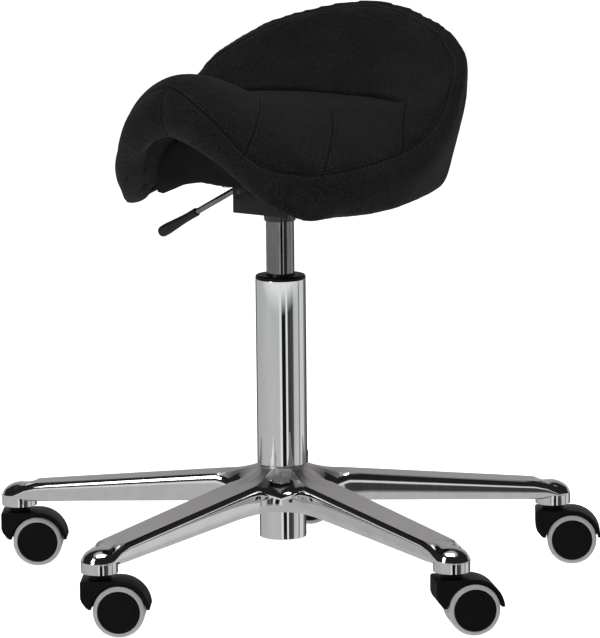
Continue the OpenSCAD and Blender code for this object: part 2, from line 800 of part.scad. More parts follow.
// Axle frame: origin at the axle's middle, +Z along the axle to the left
module at_axle(n) {
    at_castor(n)
        translate([trail, 0, axle_z])
            rotate([-90, 0, 0])
                children();
}
module castor_axle(n) {
    color("lightgray")
        at_axle(n)
            translate([0, 0, -axle_half])
                cylinder(h = 2 * axle_half, d = axle_d);
}
module wheel(n, side) {
    color("black")
        at_axle(n)
            mirror([0, 0, side > 0 ? 0 : 1])
                rotate_extrude()
                    polygon([
                        [axle_d / 2 + running, wheel_in], [axle_d / 2 + 3, wheel_in],
                        [axle_d / 2 + 3, wheel_in + wheel_w - 3.5], [core_r - 2.5, wheel_in + wheel_w - 3.5],
                        [core_r - 2.5, wheel_in + 1], [core_r, wheel_in + 1],
                        [core_r, wheel_in + wheel_w - 1], [core_r - 1, wheel_in + wheel_w],
                        [0, wheel_in + wheel_w], [0, axle_half + loose], [axle_d / 2 + running, axle_half + loose]
                    ]);
}
module tread(n, side) {
    color("darkgray")
        at_axle(n)
            mirror([0, 0, side > 0 ? 0 : 1])
                rotate_extrude()
                    polygon([
                        [core_r, wheel_in + 1], [wheel_d / 2 - 1.5, wheel_in + 1],
                        [wheel_d / 2, wheel_in + 2.5], [wheel_d / 2, wheel_in + wheel_w - 4],
                        [wheel_d / 2 - 0.9, wheel_in + wheel_w - 1.9],
                        [wheel_d / 2 - 3, wheel_in + wheel_w - 1], [core_r, wheel_in + wheel_w - 1]
                    ]);
}

base_star();
column_tube();
column_floor();
guide_bush();
rod_clip();
bearing_lower_race();
castor_stems();
stem_grip_rings();
piston_rod();
piston();
bearing_balls();
rubber_buffer();
gas_cylinder();
cylinder_gland();
cylinder_valve();
taper_socket();
mechanism_box();
seat_plate();
seat_bolts();
bolt_inserts();
lever_pivot_pin();
seat_shell();
seat_foam();
seat_cover();
dust_cover();
lever_arm();
lever_rod();
lever_grip();
release_pin();
for (n = [0 : arm_count - 1]) {
    castor_hood(n);
    castor_axle(n);
    wheel(n, 1);
    wheel(n, -1);
    tread(n, 1);
    tread(n, -1);
}
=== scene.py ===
"""Saddle stool for a dentist: its looks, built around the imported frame. Metres; sizes named _mm are millimetres."""

import json
import math

import bmesh
import bpy
from mathutils import Matrix, Vector, noise
from mathutils.bvhtree import BVHTree
from mathutils.kdtree import KDTree

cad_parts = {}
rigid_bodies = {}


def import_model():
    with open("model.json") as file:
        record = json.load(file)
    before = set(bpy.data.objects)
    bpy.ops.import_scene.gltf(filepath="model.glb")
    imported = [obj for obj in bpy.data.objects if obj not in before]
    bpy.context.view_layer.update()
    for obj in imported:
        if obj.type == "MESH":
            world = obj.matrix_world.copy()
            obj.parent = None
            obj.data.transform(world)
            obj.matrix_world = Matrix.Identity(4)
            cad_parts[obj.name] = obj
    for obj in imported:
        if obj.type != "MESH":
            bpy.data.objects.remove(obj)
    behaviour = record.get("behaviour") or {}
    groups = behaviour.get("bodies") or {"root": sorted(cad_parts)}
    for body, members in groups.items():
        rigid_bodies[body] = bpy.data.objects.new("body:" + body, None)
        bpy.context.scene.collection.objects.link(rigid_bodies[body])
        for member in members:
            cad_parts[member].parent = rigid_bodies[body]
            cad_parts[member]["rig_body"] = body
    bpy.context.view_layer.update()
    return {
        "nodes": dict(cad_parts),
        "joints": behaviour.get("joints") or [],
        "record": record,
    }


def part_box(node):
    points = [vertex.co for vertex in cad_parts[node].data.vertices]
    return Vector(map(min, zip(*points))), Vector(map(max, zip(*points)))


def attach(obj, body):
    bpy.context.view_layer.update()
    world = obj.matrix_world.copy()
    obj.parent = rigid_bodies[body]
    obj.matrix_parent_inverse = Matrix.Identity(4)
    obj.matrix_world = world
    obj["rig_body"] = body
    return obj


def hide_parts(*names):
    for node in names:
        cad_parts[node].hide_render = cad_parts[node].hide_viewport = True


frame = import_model()
nodes = frame["nodes"]
scene = bpy.context.scene
MM = 0.001


# ---- Camera ----
CAMERA_AZIMUTH = 37.92
CAMERA_DISTANCE = 4.722
CAMERA_HEIGHT = 1.059
CAMERA_PITCH = 9.54
CAMERA_YAW = 0.23
CAMERA_ROLL = -0.57
CAMERA_LENS = 271.6


def heading(degrees):
    """Level unit vectors towards the camera and to its right, for an azimuth."""
    a = math.radians(degrees)
    return Vector((math.sin(a), -math.cos(a), 0)), Vector((math.cos(a), math.sin(a), 0))


def make_camera():
    data = bpy.data.cameras.new("camera")
    data.lens = CAMERA_LENS
    data.clip_start, data.clip_end = 0.1, 100
    camera = bpy.data.objects.new("camera", data)
    scene.collection.objects.link(camera)
    back, right = heading(CAMERA_AZIMUTH)
    up = Vector((0, 0, 1))
    yaw, pitch, roll = (math.radians(v) for v in (CAMERA_YAW, CAMERA_PITCH, CAMERA_ROLL))
    ahead = -back * math.cos(yaw) + right * math.sin(yaw)
    right = right * math.cos(yaw) + back * math.sin(yaw)
    look = ahead * math.cos(pitch) - up * math.sin(pitch)
    top = up * math.cos(pitch) + ahead * math.sin(pitch)
    side = right * math.cos(roll) + top * math.sin(roll)
    top = top * math.cos(roll) - right * math.sin(roll)
    turn = Matrix((side, top, -look)).transposed().to_4x4()
    place = Matrix.Translation(back * CAMERA_DISTANCE + up * CAMERA_HEIGHT)
    camera.matrix_world = place @ turn
    scene.camera = camera


make_camera()


# ---- Node helpers ----
def linear(code):
    """Linear colour of an sRGB hex code."""
    parts = [int(code[i : i + 2], 16) / 255 for i in (1, 3, 5)]
    parts = [p / 12.92 if p <= 0.04045 else ((p + 0.055) / 1.055) ** 2.4 for p in parts]
    return (*parts, 1.0)


def add(tree, kind, inputs=None, **settings):
    """Adds a node: settings are its properties, inputs are values or links by socket name or index."""
    made = tree.nodes.new(kind)
    for name, value in settings.items():
        setattr(made, name, value)
    for name, value in (inputs or {}).items():
        if isinstance(value, bpy.types.NodeSocket):
            tree.links.new(value, made.inputs[name])
        else:
            made.inputs[name].default_value = value
    return made


def ramp(tree, factor, stops):
    """Colour ramp with stops of (place, colour)."""
    made = add(tree, "ShaderNodeValToRGB", {"Fac": factor})
    band = made.color_ramp
    while len(band.elements) > 1:
        band.elements.remove(band.elements[-1])
    band.elements[0].position, band.elements[0].color = stops[0]
    for place, colour in stops[1:]:
        band.elements.new(place).color = colour
    return made.outputs["Color"]


def start_material(name):
    made = bpy.data.materials.new(name)
    made.use_nodes = True
    made.node_tree.nodes.clear()
    return made, made.node_tree


def grained(name, dark, light, grain_mm, bump, roughness, metallic=0.0, stretch=(1, 1, 1), bump_mm=None,
            contrast=(0.3, 0.7), **fixed):
    """Finish whose colour, roughness and bump come from noise of a real grain size.
    roughness is its least and greatest; bump is the depth in millimetres; fixed are sockets set by name."""
    made, tree = start_material(name)
    place = add(tree, "ShaderNodeTexCoord").outputs["Object"]
    place = add(tree, "ShaderNodeMapping", {"Vector": place, "Scale": stretch}).outputs["Vector"]
    broad = add(tree, "ShaderNodeTexNoise", {"Vector": place, "Scale": 1 / (grain_mm * 6 * MM), "Detail": 3.0})
    fine_scale = 1 / ((bump_mm or grain_mm) * MM)
    fine = add(tree, "ShaderNodeTexNoise", {"Vector": place, "Scale": fine_scale, "Detail": 4.0})
    both = add(tree, "ShaderNodeMath", {0: broad.outputs["Fac"], 1: fine.outputs["Fac"]}, operation="ADD")
    half = add(tree, "ShaderNodeMath", {0: both.outputs[0], 1: 0.5}, operation="MULTIPLY").outputs[0]
    colour = ramp(tree, half, [(contrast[0], linear(dark)), (contrast[1], linear(light))])
    rough = add(tree, "ShaderNodeMapRange", {"Value": half, "From Min": 0.3, "From Max": 0.7,
                                            "To Min": roughness[0], "To Max": roughness[1]})
    relief = add(tree, "ShaderNodeBump", {"Height": fine.outputs["Fac"], "Distance": bump * MM, "Strength": 1.0})
    shader = add(tree, "ShaderNodeBsdfPrincipled", {
        "Base Color": colour, "Roughness": rough.outputs["Result"], "Metallic": metallic,
        "Normal": relief.outputs["Normal"], **fixed})
    add(tree, "ShaderNodeOutputMaterial", {"Surface": shader.outputs["BSDF"]})
    return made


# ---- Finishes ----
def woven_fabric():
    """Black wool-blend upholstery cloth: matt crossing threads with a soft nap that catches light at grazing angles.
    Threads are 1.1 mm apart on the real cloth; they are drawn 2.2 mm apart so that they show."""
    made, tree = start_material("woven_upholstery_cloth")
    thread = 2 * math.pi / (2.2 * MM)
    place = add(tree, "ShaderNodeTexCoord").outputs["Object"]
    wander = add(tree, "ShaderNodeTexNoise", {"Vector": place, "Scale": 90.0, "Detail": 2.0})
    shift = add(tree, "ShaderNodeVectorMath", {0: wander.outputs["Color"], 1: (0.0016,) * 3}, operation="MULTIPLY")
    moved = add(tree, "ShaderNodeVectorMath", {0: place, 1: shift.outputs[0]}, operation="ADD").outputs[0]
    scaled = add(tree, "ShaderNodeVectorMath", {0: moved, 1: (thread,) * 3}, operation="MULTIPLY").outputs[0]
    axes = add(tree, "ShaderNodeSeparateXYZ", {0: scaled}).outputs
    waves = []
    for first, second in ((0, 1), (1, 2), (2, 0)):
        up = add(tree, "ShaderNodeMath", {0: axes[first]}, operation="SINE").outputs[0]
        across = add(tree, "ShaderNodeMath", {0: axes[second]}, operation="COSINE").outputs[0]
        waves.append(add(tree, "ShaderNodeMath", {0: up, 1: across}, operation="MULTIPLY").outputs[0])
    total = add(tree, "ShaderNodeMath", {0: waves[0], 1: waves[1]}, operation="ADD").outputs[0]
    total = add(tree, "ShaderNodeMath", {0: total, 1: waves[2]}, operation="ADD").outputs[0]
    weave = add(tree, "ShaderNodeMapRange", {"Value": total, "From Min": -1.4, "From Max": 1.4}).outputs["Result"]
    fuzz = add(tree, "ShaderNodeTexNoise", {"Vector": place, "Scale": 850.0, "Detail": 3.0, "Roughness": 0.75})
    blotch = add(tree, "ShaderNodeTexNoise", {"Vector": place, "Scale": 22.0, "Detail": 3.0})
    woven = add(tree, "ShaderNodeMapRange", {"Value": weave, "To Min": 0.86, "To Max": 1.04}).outputs["Result"]
    mixed = add(tree, "ShaderNodeMath", {0: woven, 1: fuzz.outputs["Fac"]}, operation="MULTIPLY").outputs[0]
    patch = add(tree, "ShaderNodeMapRange", {"Value": blotch.outputs["Fac"], "From Min": 0.3, "From Max": 0.7,
                                            "To Min": 0.93, "To Max": 1.06}).outputs["Result"]
    tone = add(tree, "ShaderNodeMath", {0: mixed, 1: patch}, operation="MULTIPLY").outputs[0]
    # Painted shade: the cloth's tone is darkened along the bottom of each seam, most in the deep crease, where shade
    # falls
    painted_seam_shade = add(tree, "ShaderNodeAttribute", attribute_name="painted_seam_shade").outputs["Fac"]
    shade = add(tree, "ShaderNodeMapRange", {"Value": painted_seam_shade, "To Min": 1.0, "To Max": 0.72}).outputs["Result"]
    tone = add(tree, "ShaderNodeMath", {0: tone, 1: shade}, operation="MULTIPLY").outputs[0]
    colour = ramp(tree, tone, [(0.3, linear("#030303")), (0.44, linear("#0a0a0a")), (0.6, linear("#202020"))])
    height = add(tree, "ShaderNodeMath", {0: weave, 1: fuzz.outputs["Fac"]}, operation="ADD").outputs[0]
    relief = add(tree, "ShaderNodeBump", {"Height": height, "Distance": 0.35 * MM, "Strength": 0.9})
    shader = add(tree, "ShaderNodeBsdfPrincipled", {
        "Base Color": colour, "Roughness": 0.95, "Specular IOR Level": 0.12, "Sheen Weight": 0.03,
        "Sheen Roughness": 0.5, "Normal": relief.outputs["Normal"]})
    add(tree, "ShaderNodeOutputMaterial", {"Surface": shader.outputs["BSDF"]})
    return made


def plywood():
    """Moulded beech plywood: pale, with short flecks along the grain."""
    made, tree = start_material("moulded_beech_plywood")
    place = add(tree, "ShaderNodeTexCoord").outputs["Object"]
    place = add(tree, "ShaderNodeMapping", {"Vector": place, "Scale": (260.0, 26.0, 260.0)}).outputs["Vector"]
    grain = add(tree, "ShaderNodeTexNoise", {"Vector": place, "Scale": 1.0, "Detail": 5.0, "Distortion": 0.4})
    stops = [(0.3, linear("#a9825a")), (0.55, linear("#c9a77c")), (0.75, linear("#d8bb92"))]
    colour = ramp(tree, grain.outputs["Fac"], stops)
    relief = add(tree, "ShaderNodeBump", {"Height": grain.outputs["Fac"], "Distance": 0.05 * MM, "Strength": 1.0})
    shader = add(tree, "ShaderNodeBsdfPrincipled", {
        "Base Color": colour, "Roughness": 0.55, "Normal": relief.outputs["Normal"]})
    add(tree, "ShaderNodeOutputMaterial", {"Surface": shader.outputs["BSDF"]})
    return made


FINISHES = {
    # Chrome plate on drawn steel tube: a near-perfect mirror with very faint cloudiness
    "column_chrome": grained("chrome_plated_steel", "#d6d8d8", "#e2e4e4", 3, 0.002, (0.02, 0.05), 1.0, (1, 1, 0.1)),
    # Dark nickel plate on the gas cylinder: a mirror that reflects only a third of the light
    "dark_chrome": grained("dark_nickel_plate", "#6f7072", "#8b8c8e", 2, 0.002, (0.06, 0.12), 1.0, (1, 1, 0.1)),
    # Die-cast aluminium buffed to a mirror: slight waves of the buffing wheel bend the reflections
    "polished_aluminium": grained("polished_cast_aluminium", "#cfcdce", "#dedcdd", 4, 0.03, (0.05, 0.10), 1.0,
                                  bump_mm=14),
    # The flat top faces are ground with a fine belt, so they stay satin
    "ground_aluminium": grained("satin_ground_aluminium", "#cfcace", "#dcd7db", 2, 0.006, (0.36, 0.44), 1.0),
    # The underside of the casting is as it left the die: dull and grainy
    "raw_aluminium": grained("raw_cast_aluminium", "#6d6b6d", "#8b898b", 1.2, 0.25, (0.45, 0.65), 1.0),
    "dark_steel": grained("zinc_plated_steel_dark", "#3a3a3d", "#505053", 1.5, 0.01, (0.22, 0.34), 0.9),
    "bright_steel": grained("turned_steel", "#b4b4b6", "#cbcbcd", 1.0, 0.01, (0.18, 0.30), 1.0, (1, 1, 6)),
    # Powder coat: a hard blue-grey skin with a fine orange peel
    "painted_steel": grained("powder_coated_steel", "#0d0d11", "#16161b", 1.6, 0.05, (0.34, 0.46), 0.0,
                             **{"Specular IOR Level": 0.22}),
    "brass": grained("turned_brass", "#b3924f", "#cbaa66", 1.0, 0.01, (0.2, 0.3), 1.0),
    # Moulded nylon: near black, with the fine spark-eroded grain of its mould
    "black_plastic": grained("moulded_nylon", "#040404", "#080808", 0.9, 0.05, (0.42, 0.52), 0.0,
                             **{"Specular IOR Level": 0.12}),
    # Soft polyurethane tread: grey, dusty and a little uneven
    "grey_tread": grained("polyurethane_tread", "#8b8b88", "#9c9c99", 1.5, 0.03, (0.45, 0.6), 0.0),
    "black_rubber": grained("moulded_rubber", "#0b0b0b", "#141414", 1.1, 0.06, (0.45, 0.58), 0.0,
                            **{"Specular IOR Level": 0.35}),
    "seat_foam": grained("polyurethane_foam", "#cfc39a", "#e3d9b4", 1.0, 0.3, (0.8, 0.95), 0.0),
    "black_felt": grained("nonwoven_felt", "#060606", "#0c0c0c", 0.8, 0.25, (0.85, 0.97), 0.0,
                          **{"Specular IOR Level": 0.1}),
    # Polyester sewing thread: a little glossier than the cloth, so each stitch catches the light
    "thread": grained("polyester_thread", "#191919", "#242424", 0.5, 0.03, (0.5, 0.6), 0.0,
                      **{"Specular IOR Level": 0.3}),
    "plywood": plywood(),
    "black_fabric": woven_fabric(),
}


# ---- Mesh helpers ----
def finish_mesh(mesh, sharp=35):
    mesh.shade_smooth()
    mesh.set_sharp_from_angle(angle=math.radians(sharp))


def new_piece(name, verts, faces, finish, scale=MM, sharp=35, place=Matrix.Identity(4)):
    """A mesh piece with its place in its mesh. finish is a name in FINISHES, or a list of them."""
    mesh = bpy.data.meshes.new(name)
    mesh.from_pydata([place @ (Vector(v) * scale) for v in verts], [], faces)
    finish = [finish] if isinstance(finish, str) else finish
    for f in finish:
        mesh.materials.append(FINISHES[f])
    piece = bpy.data.objects.new(name, mesh)
    scene.collection.objects.link(piece)
    tidy(mesh)
    finish_mesh(mesh, sharp)
    return piece


def tidy(mesh, merge=1e-6):
    """Merges doubles and points the faces outwards."""
    b = bmesh.new()
    b.from_mesh(mesh)
    bmesh.ops.remove_doubles(b, verts=b.verts, dist=merge)
    bmesh.ops.dissolve_degenerate(b, edges=b.edges, dist=1e-7)
    bmesh.ops.recalc_face_normals(b, faces=b.faces)
    b.to_mesh(mesh)
    b.free()


def settle(piece, body, replaced=()):
    """Puts the piece on the body it rides on, and hides the CAD nodes that it stands for."""
    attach(piece, body)
    if replaced:
        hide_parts(*replaced)
    return piece


def baked(piece):
    """The piece with its modifiers turned into plain mesh."""
    bpy.context.view_layer.update()
    graph = bpy.context.evaluated_depsgraph_get()
    mesh = bpy.data.meshes.new_from_object(piece.evaluated_get(graph), depsgraph=graph)
    piece.modifiers.clear()
    old = piece.data
    piece.data = mesh
    bpy.data.meshes.remove(old)
    mesh.name = piece.name
    return piece


def rounded(points, radius, steps=3):
    """A closed outline with its corners rounded off by up to radius."""
    out = []
    count = len(points)
    for i, corner in enumerate(points):
        p, a, b = (Vector(q) for q in (corner[:2], points[i - 1][:2], points[(i + 1) % count][:2]))
        r = corner[2] if len(corner) > 2 else radius
        start = p + (a - p).normalized() * min(r, (a - p).length * 0.45)
        end = p + (b - p).normalized() * min(r, (b - p).length * 0.45)
        for k in range(steps + 1):
            t = k / steps
            out.append(start * (1 - t) ** 2 + p * 2 * t * (1 - t) + end * t ** 2)
    return [(max(q.x, 0), q.y) for q in out]


def lathe(name, outline, finish, radius=0.5, around=96, place=Matrix.Identity(4), sharp=35, steps=3):
    """A turned piece from a closed half outline of (r, z) in millimetres. A third number is a corner's radius."""
    ring = rounded(outline, radius, steps)
    n = len(ring)
    verts = [(r * math.cos(2 * math.pi * j / around), r * math.sin(2 * math.pi * j / around), z)
             for j in range(around) for r, z in ring]
    faces = [(j * n + i, ((j + 1) % around) * n + i, ((j + 1) % around) * n + (i + 1) % n, j * n + (i + 1) % n)
             for j in range(around) for i in range(n)]
    return new_piece(name, verts, faces, finish, place=place, sharp=sharp)


def sweep(name, path, radius, finish, around=24, place=Matrix.Identity(4)):
    """A round rod along a path in millimetres, with closed ends."""
    verts, faces = [], []
    for i, p in enumerate(path):
        ahead = (Vector(path[min(i + 1, len(path) - 1)]) - Vector(path[max(i - 1, 0)])).normalized()
        side = ahead.cross(Vector((0, 1, 0))).normalized()
        up = side.cross(ahead)
        verts += [Vector(p) + radius * (side * math.cos(a) + up * math.sin(a))
                  for a in (2 * math.pi * k / around for k in range(around))]
    for i in range(len(path) - 1):
        faces += [(i * around + k, i * around + (k + 1) % around, (i + 1) * around + (k + 1) % around,
                   (i + 1) * around + k) for k in range(around)]
    faces.append(tuple(range(around)))
    faces.append(tuple(range(len(verts) - around, len(verts))))
    return new_piece(name, verts, faces, finish, place=place)


def softened(node, finish, width_mm, angle=40, segments=2):
    """A copy of a CAD node with its sharp edges rounded, standing in for that node."""
    mesh = nodes[node].data.copy()
    b = bmesh.new()
    b.from_mesh(mesh)
    bmesh.ops.remove_doubles(b, verts=b.verts, dist=2e-6)
    bmesh.ops.dissolve_limit(b, angle_limit=math.radians(1), verts=b.verts, edges=b.edges)
    b.to_mesh(mesh)
    b.free()
    mesh.materials.clear()
    mesh.materials.append(FINISHES[finish])
    piece = bpy.data.objects.new(node + "_finished", mesh)
    scene.collection.objects.link(piece)
    bevel = piece.modifiers.new("edges", "BEVEL")
    bevel.width = width_mm * MM
    bevel.segments = segments
    bevel.limit_method = "ANGLE"
    bevel.angle_limit = math.radians(angle)
    bevel.use_clamp_overlap = True
    baked(piece)
    finish_mesh(piece.data, 35)
    return settle(piece, nodes[node]["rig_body"], [node])


# ---- CAD nodes: each takes the finish of its record slot, but the lever's pivot pin, which takes dark steel ----
SLOT_OF = {part["node"]: part["material_slot"] for part in frame["record"]["subparts"]}
for name, node_object in nodes.items():
    node_object.data.materials.clear()
    node_object.data.materials.append(FINISHES["dark_steel" if name == "lever_pivot_pin" else SLOT_OF[name]])


# ---- Star base ----
ARMS = 5
STEM_CIRCLE = 286
ARM_HALF_W = 18
ARM_FLARE = 0.5
GAP_ROUND = 27
ARM_END_TOP = 84
ARM_FALL = math.tan(math.radians(6.4))
ARM_END_DEPTH = 16.5
ROOT_DEPTH = 27
HUB_RIM_R = 26
HUB_R = 28.5
HUB_BOTTOM = 77
SWELL_R, SWELL_H = 62, 5.5
WEB_DIP = 7
EDGE_IN = 3.5
ROOT_R = 85
BOSS_BOTTOM = 60.3
TOP_AT_AXIS = ARM_END_TOP + STEM_CIRCLE * ARM_FALL
HUB_TOP = TOP_AT_AXIS - HUB_RIM_R * ARM_FALL + SWELL_H
END_BOTTOM = ARM_END_TOP - ARM_END_DEPTH
ROOT_BOTTOM = TOP_AT_AXIS - ROOT_R * ARM_FALL - ROOT_DEPTH
SKIN, WALL = 4, 5
# The arm's end is rounded like a ball from DOME_IN inside the stem's axis, fully so after DOME_RUN
DOME_IN, DOME_RUN, DOME_R, DOME_SHARE = 17, 15, 17.2, 0.72
# The ball ends and the edges of the webs between the arms are polished, not ground
POLISHED_R, WEB_HALF_TURN, WEB_NEAR, WEB_FAR = 16.5, 15, 43, 70
SOCKET_R, SOCKET_DEPTH, BORE_R = 5.6, 19, 23.6
STAR_FINISHES = ["polished_aluminium", "ground_aluminium", "raw_aluminium"]
STAR_SHARP = 24


def curve(a, b, c, d, f):
    return b + 0.5 * f * (c - a + f * (2 * a - 5 * b + 4 * c - d + f * (3 * (b - c) + d - a)))


def smooth_list(points, steps):
    """Points on a smooth curve through a list of number tuples."""
    out = []
    for i in range(len(points) - 1):
        four = [points[max(i - 1, 0)], points[i], points[i + 1], points[min(i + 2, len(points) - 1)]]
        out += [tuple(curve(*(p[k] for p in four), s / steps) for k in range(len(points[0]))) for s in range(steps)]
    return out + [tuple(points[-1])]


def unit(degrees):
    return Vector((math.cos(math.radians(degrees)), math.sin(math.radians(degrees))))


def arm_outline():
    """One arm's outline from gap to gap: point, direction that it faces, share of the gap."""
    half = 180 / ARMS
    side = 90 - ARM_FLARE
    side_c = STEM_CIRCLE * math.sin(math.radians(ARM_FLARE)) + ARM_HALF_W
    gap = (GAP_ROUND + side_c) / math.sin(math.radians(half + ARM_FLARE)) * unit(half)
    arc_steps, side_steps, tip_steps = 14, 18, 12
    rim = []
    for k in range(arc_steps + 1):
        a = half + (side - half) * k / arc_steps
        rim.append((gap - GAP_ROUND * unit(a), a, (side - a) / (side - half)))
    start = rim[-1][0]
    tip = Vector((STEM_CIRCLE, 0))
    end = tip + ARM_HALF_W * unit(side)
    rim += [(start.lerp(end, k / side_steps), side, 0) for k in range(1, side_steps)]
    for k in range(tip_steps + 1):
        a = side * (1 - k / tip_steps)
        rim.append((tip + ARM_HALF_W * unit(a), a, 0))
    flipped = [(Vector((p.x, -p.y)), -a, g) for p, a, g in rim]
    return flipped + rim[-2:0:-1]


def arm_bottom(r):
    t = min(max((r - ROOT_R) / (STEM_CIRCLE - 20 - ROOT_R), 0), 1)
    return ROOT_BOTTOM + (END_BOTTOM - ROOT_BOTTOM) * t


def dome(p):
    """Drop of the arm's rounded end at a point, and the point's distance from the castor stem's axis."""
    turn = (math.degrees(math.atan2(p.y, p.x)) + 90 + 36) % 72 - 36
    x, y = p.length * math.cos(math.radians(turn)), p.length * math.sin(math.radians(turn))
    far = math.hypot(x - STEM_CIRCLE, y)
    ease = min(max((x - STEM_CIRCLE + DOME_IN) / DOME_RUN, 0), 1)
    ball = ARM_HALF_W - math.sqrt(ARM_HALF_W ** 2 - min(far, DOME_R) ** 2)
    return DOME_SHARE * ball * ease * ease * (3 - 2 * ease), far


def star_point(rim, ring):
    out, inset, share = ring
    point, facing, gap = rim
    edge = point - inset * unit(facing)
    p = edge * (out + (1 - out) * HUB_RIM_R / edge.length)
    r = p.length
    swell = max(SWELL_R - r, 0) / (SWELL_R - HUB_RIM_R)
    fade = max(out - 0.45, 0) / 0.55
    top = TOP_AT_AXIS - r * ARM_FALL + SWELL_H * swell ** 2 - gap * (WEB_DIP * out + 4 * fade ** 2) - dome(p)[0]
    bottom = arm_bottom(r)
    return (p.x, p.y, bottom + (top - bottom) * share)


def make_star():
    rims = []
    for n in range(ARMS):
        a = n * 72 - 90
        turn = Matrix.Rotation(math.radians(a), 2)
        rims += [(turn @ p, facing + a, g) for p, facing, g in arm_outline()]
    top = [(t, EDGE_IN, 1) for t in (0, 0.06, 0.12, 0.2, 0.3, 0.45, 0.6, 0.72, 0.82, 0.88, 0.905, 0.92, 0.935, 0.95,
                                      0.962, 0.974, 0.987)]
    side = smooth_list([(1, EDGE_IN, 1), (1, 1.6, 0.91), (1, 0.35, 0.74), (1, 0, 0.52), (1, 0.8, 0.28), (1, 3, 0.06),
                        (1, 4, 0)], 4)
    rings = top + side + [(0.7, 4, 0), (0.4, 4, 0), (0, 4, 0)]
    n, s = len(rings), len(rims)
    verts = [star_point(rim, ring) for rim in rims for ring in rings] + [(0, 0, HUB_TOP), (0, 0, ROOT_BOTTOM)]
    faces = [(n * s, j * n, ((j + 1) % s) * n) for j in range(s)]
    faces += [(j * n + i, j * n + i + 1, ((j + 1) % s) * n + i + 1, ((j + 1) % s) * n + i)
              for j in range(s) for i in range(n - 1)]
    faces += [(n * s + 1, ((j + 1) % s) * n + n - 1, j * n + n - 1) for j in range(s)]
    star = new_piece("star_casting", verts, faces, STAR_FINISHES, sharp=STAR_SHARP)
    satin = len(top)
    for k in range(s * (n - 1)):
        star.data.polygons[s + k].material_index = 1 if k % (n - 1) < satin else (2 if k % (n - 1) >= n - 4 else 0)
    for polygon in star.data.polygons[:s]:
        polygon.material_index = 1
    for polygon in star.data.polygons:
        centre = polygon.center / MM
        flat = Vector((centre.x, centre.y))
        turn = (math.degrees(math.atan2(flat.y, flat.x)) + 90) % 72
        web_edge = abs(turn - 36) < WEB_HALF_TURN and WEB_NEAR < flat.length < WEB_FAR
        if polygon.material_index == 1 and (dome(flat)[1] < POLISHED_R or web_edge):
            polygon.material_index = 0

    def drum(r, low, high, cx=0.0, cy=0.0, around=64):
        ring = [(cx + r * math.cos(2 * math.pi * k / around), cy + r * math.sin(2 * math.pi * k / around))
                for k in range(around)]
        verts = [(x, y, low) for x, y in ring] + [(x, y, high) for x, y in ring]
        faces = [(k, (k + 1) % around, around + (k + 1) % around, around + k) for k in range(around)]
        faces += [tuple(range(around)), tuple(range(around, 2 * around))]
        return verts, faces

    def joined(parts):
        verts, faces = [], []
        for v, f in parts:
            faces += [tuple(i + len(verts) for i in face) for face in f]
            verts += v
        return verts, faces

    def apply(kind, parts, paint):
        other = new_piece("cutter", *joined(parts), STAR_FINISHES)
        for polygon in other.data.polygons:
            polygon.material_index = paint
        step = star.modifiers.new("cut", "BOOLEAN")
        step.operation, step.object, step.solver = kind, other, "MANIFOLD"
        step.material_mode = "INDEX"
        baked(star)
        bpy.data.objects.remove(other)

    slope = Matrix.Rotation(math.atan(ARM_FALL), 3, "Y")
    side_c = STEM_CIRCLE * math.sin(math.radians(ARM_FLARE)) + ARM_HALF_W
    pocket_in, pocket_out = HUB_R + 7, STEM_CIRCLE - ARM_HALF_W - 6
    root = (side_c - pocket_in * math.sin(math.radians(ARM_FLARE)) - WALL) * 0.7
    end = side_c - pocket_out * math.sin(math.radians(ARM_FLARE)) - WALL
    pockets, bosses, sockets = [], [], []
    for k in range(ARMS):
        turn = Matrix.Rotation(math.radians(k * 72 - 90), 3, "Z")
        corners = [(pocket_in, -root), (pocket_out, -end), (pocket_out, end), (pocket_in, root)]
        roof = Vector((0, 0, TOP_AT_AXIS - SKIN))
        verts = [turn @ (slope @ Vector((x, y, z)) + roof) for z in (-60, 0) for x, y in corners]
        pockets.append(([tuple(v) for v in verts],
                        [(3, 2, 1, 0), (4, 5, 6, 7)] + [(i, (i + 1) % 4, (i + 1) % 4 + 4, i + 4) for i in range(4)]))
        at = turn @ Vector((STEM_CIRCLE, 0, 0))
        bosses.append(drum(ARM_HALF_W - 0.3, BOSS_BOTTOM, END_BOTTOM + 3, at.x, at.y))
        sockets.append(drum(SOCKET_R, BOSS_BOTTOM - 1, BOSS_BOTTOM + SOCKET_DEPTH, at.x, at.y, 40))
    apply("DIFFERENCE", pockets, 2)
    apply("UNION", [drum(HUB_R, HUB_BOTTOM, HUB_TOP - SKIN, around=96)], 2)
    apply("UNION", bosses, 0)
    apply("DIFFERENCE", [drum(BORE_R, HUB_BOTTOM - 1, HUB_TOP + 1, around=96)] + sockets, 2)
    finish_mesh(star.data, STAR_SHARP)
    return settle(star, "base", ["base_star"])


make_star()


# ---- Column and gas spring ----
COLUMN_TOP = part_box("column_tube")[1].z / MM
COLUMN_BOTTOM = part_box("column_tube")[0].z / MM
COLLAR_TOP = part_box("guide_bush")[1].z / MM
BUSH_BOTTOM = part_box("guide_bush")[0].z / MM
CYLINDER_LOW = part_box("gas_cylinder")[0].z / MM
CYLINDER_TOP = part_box("gas_cylinder")[1].z / MM
BOX_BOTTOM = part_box("mechanism_box")[0].z / MM
SHOULDER = HUB_TOP + 1

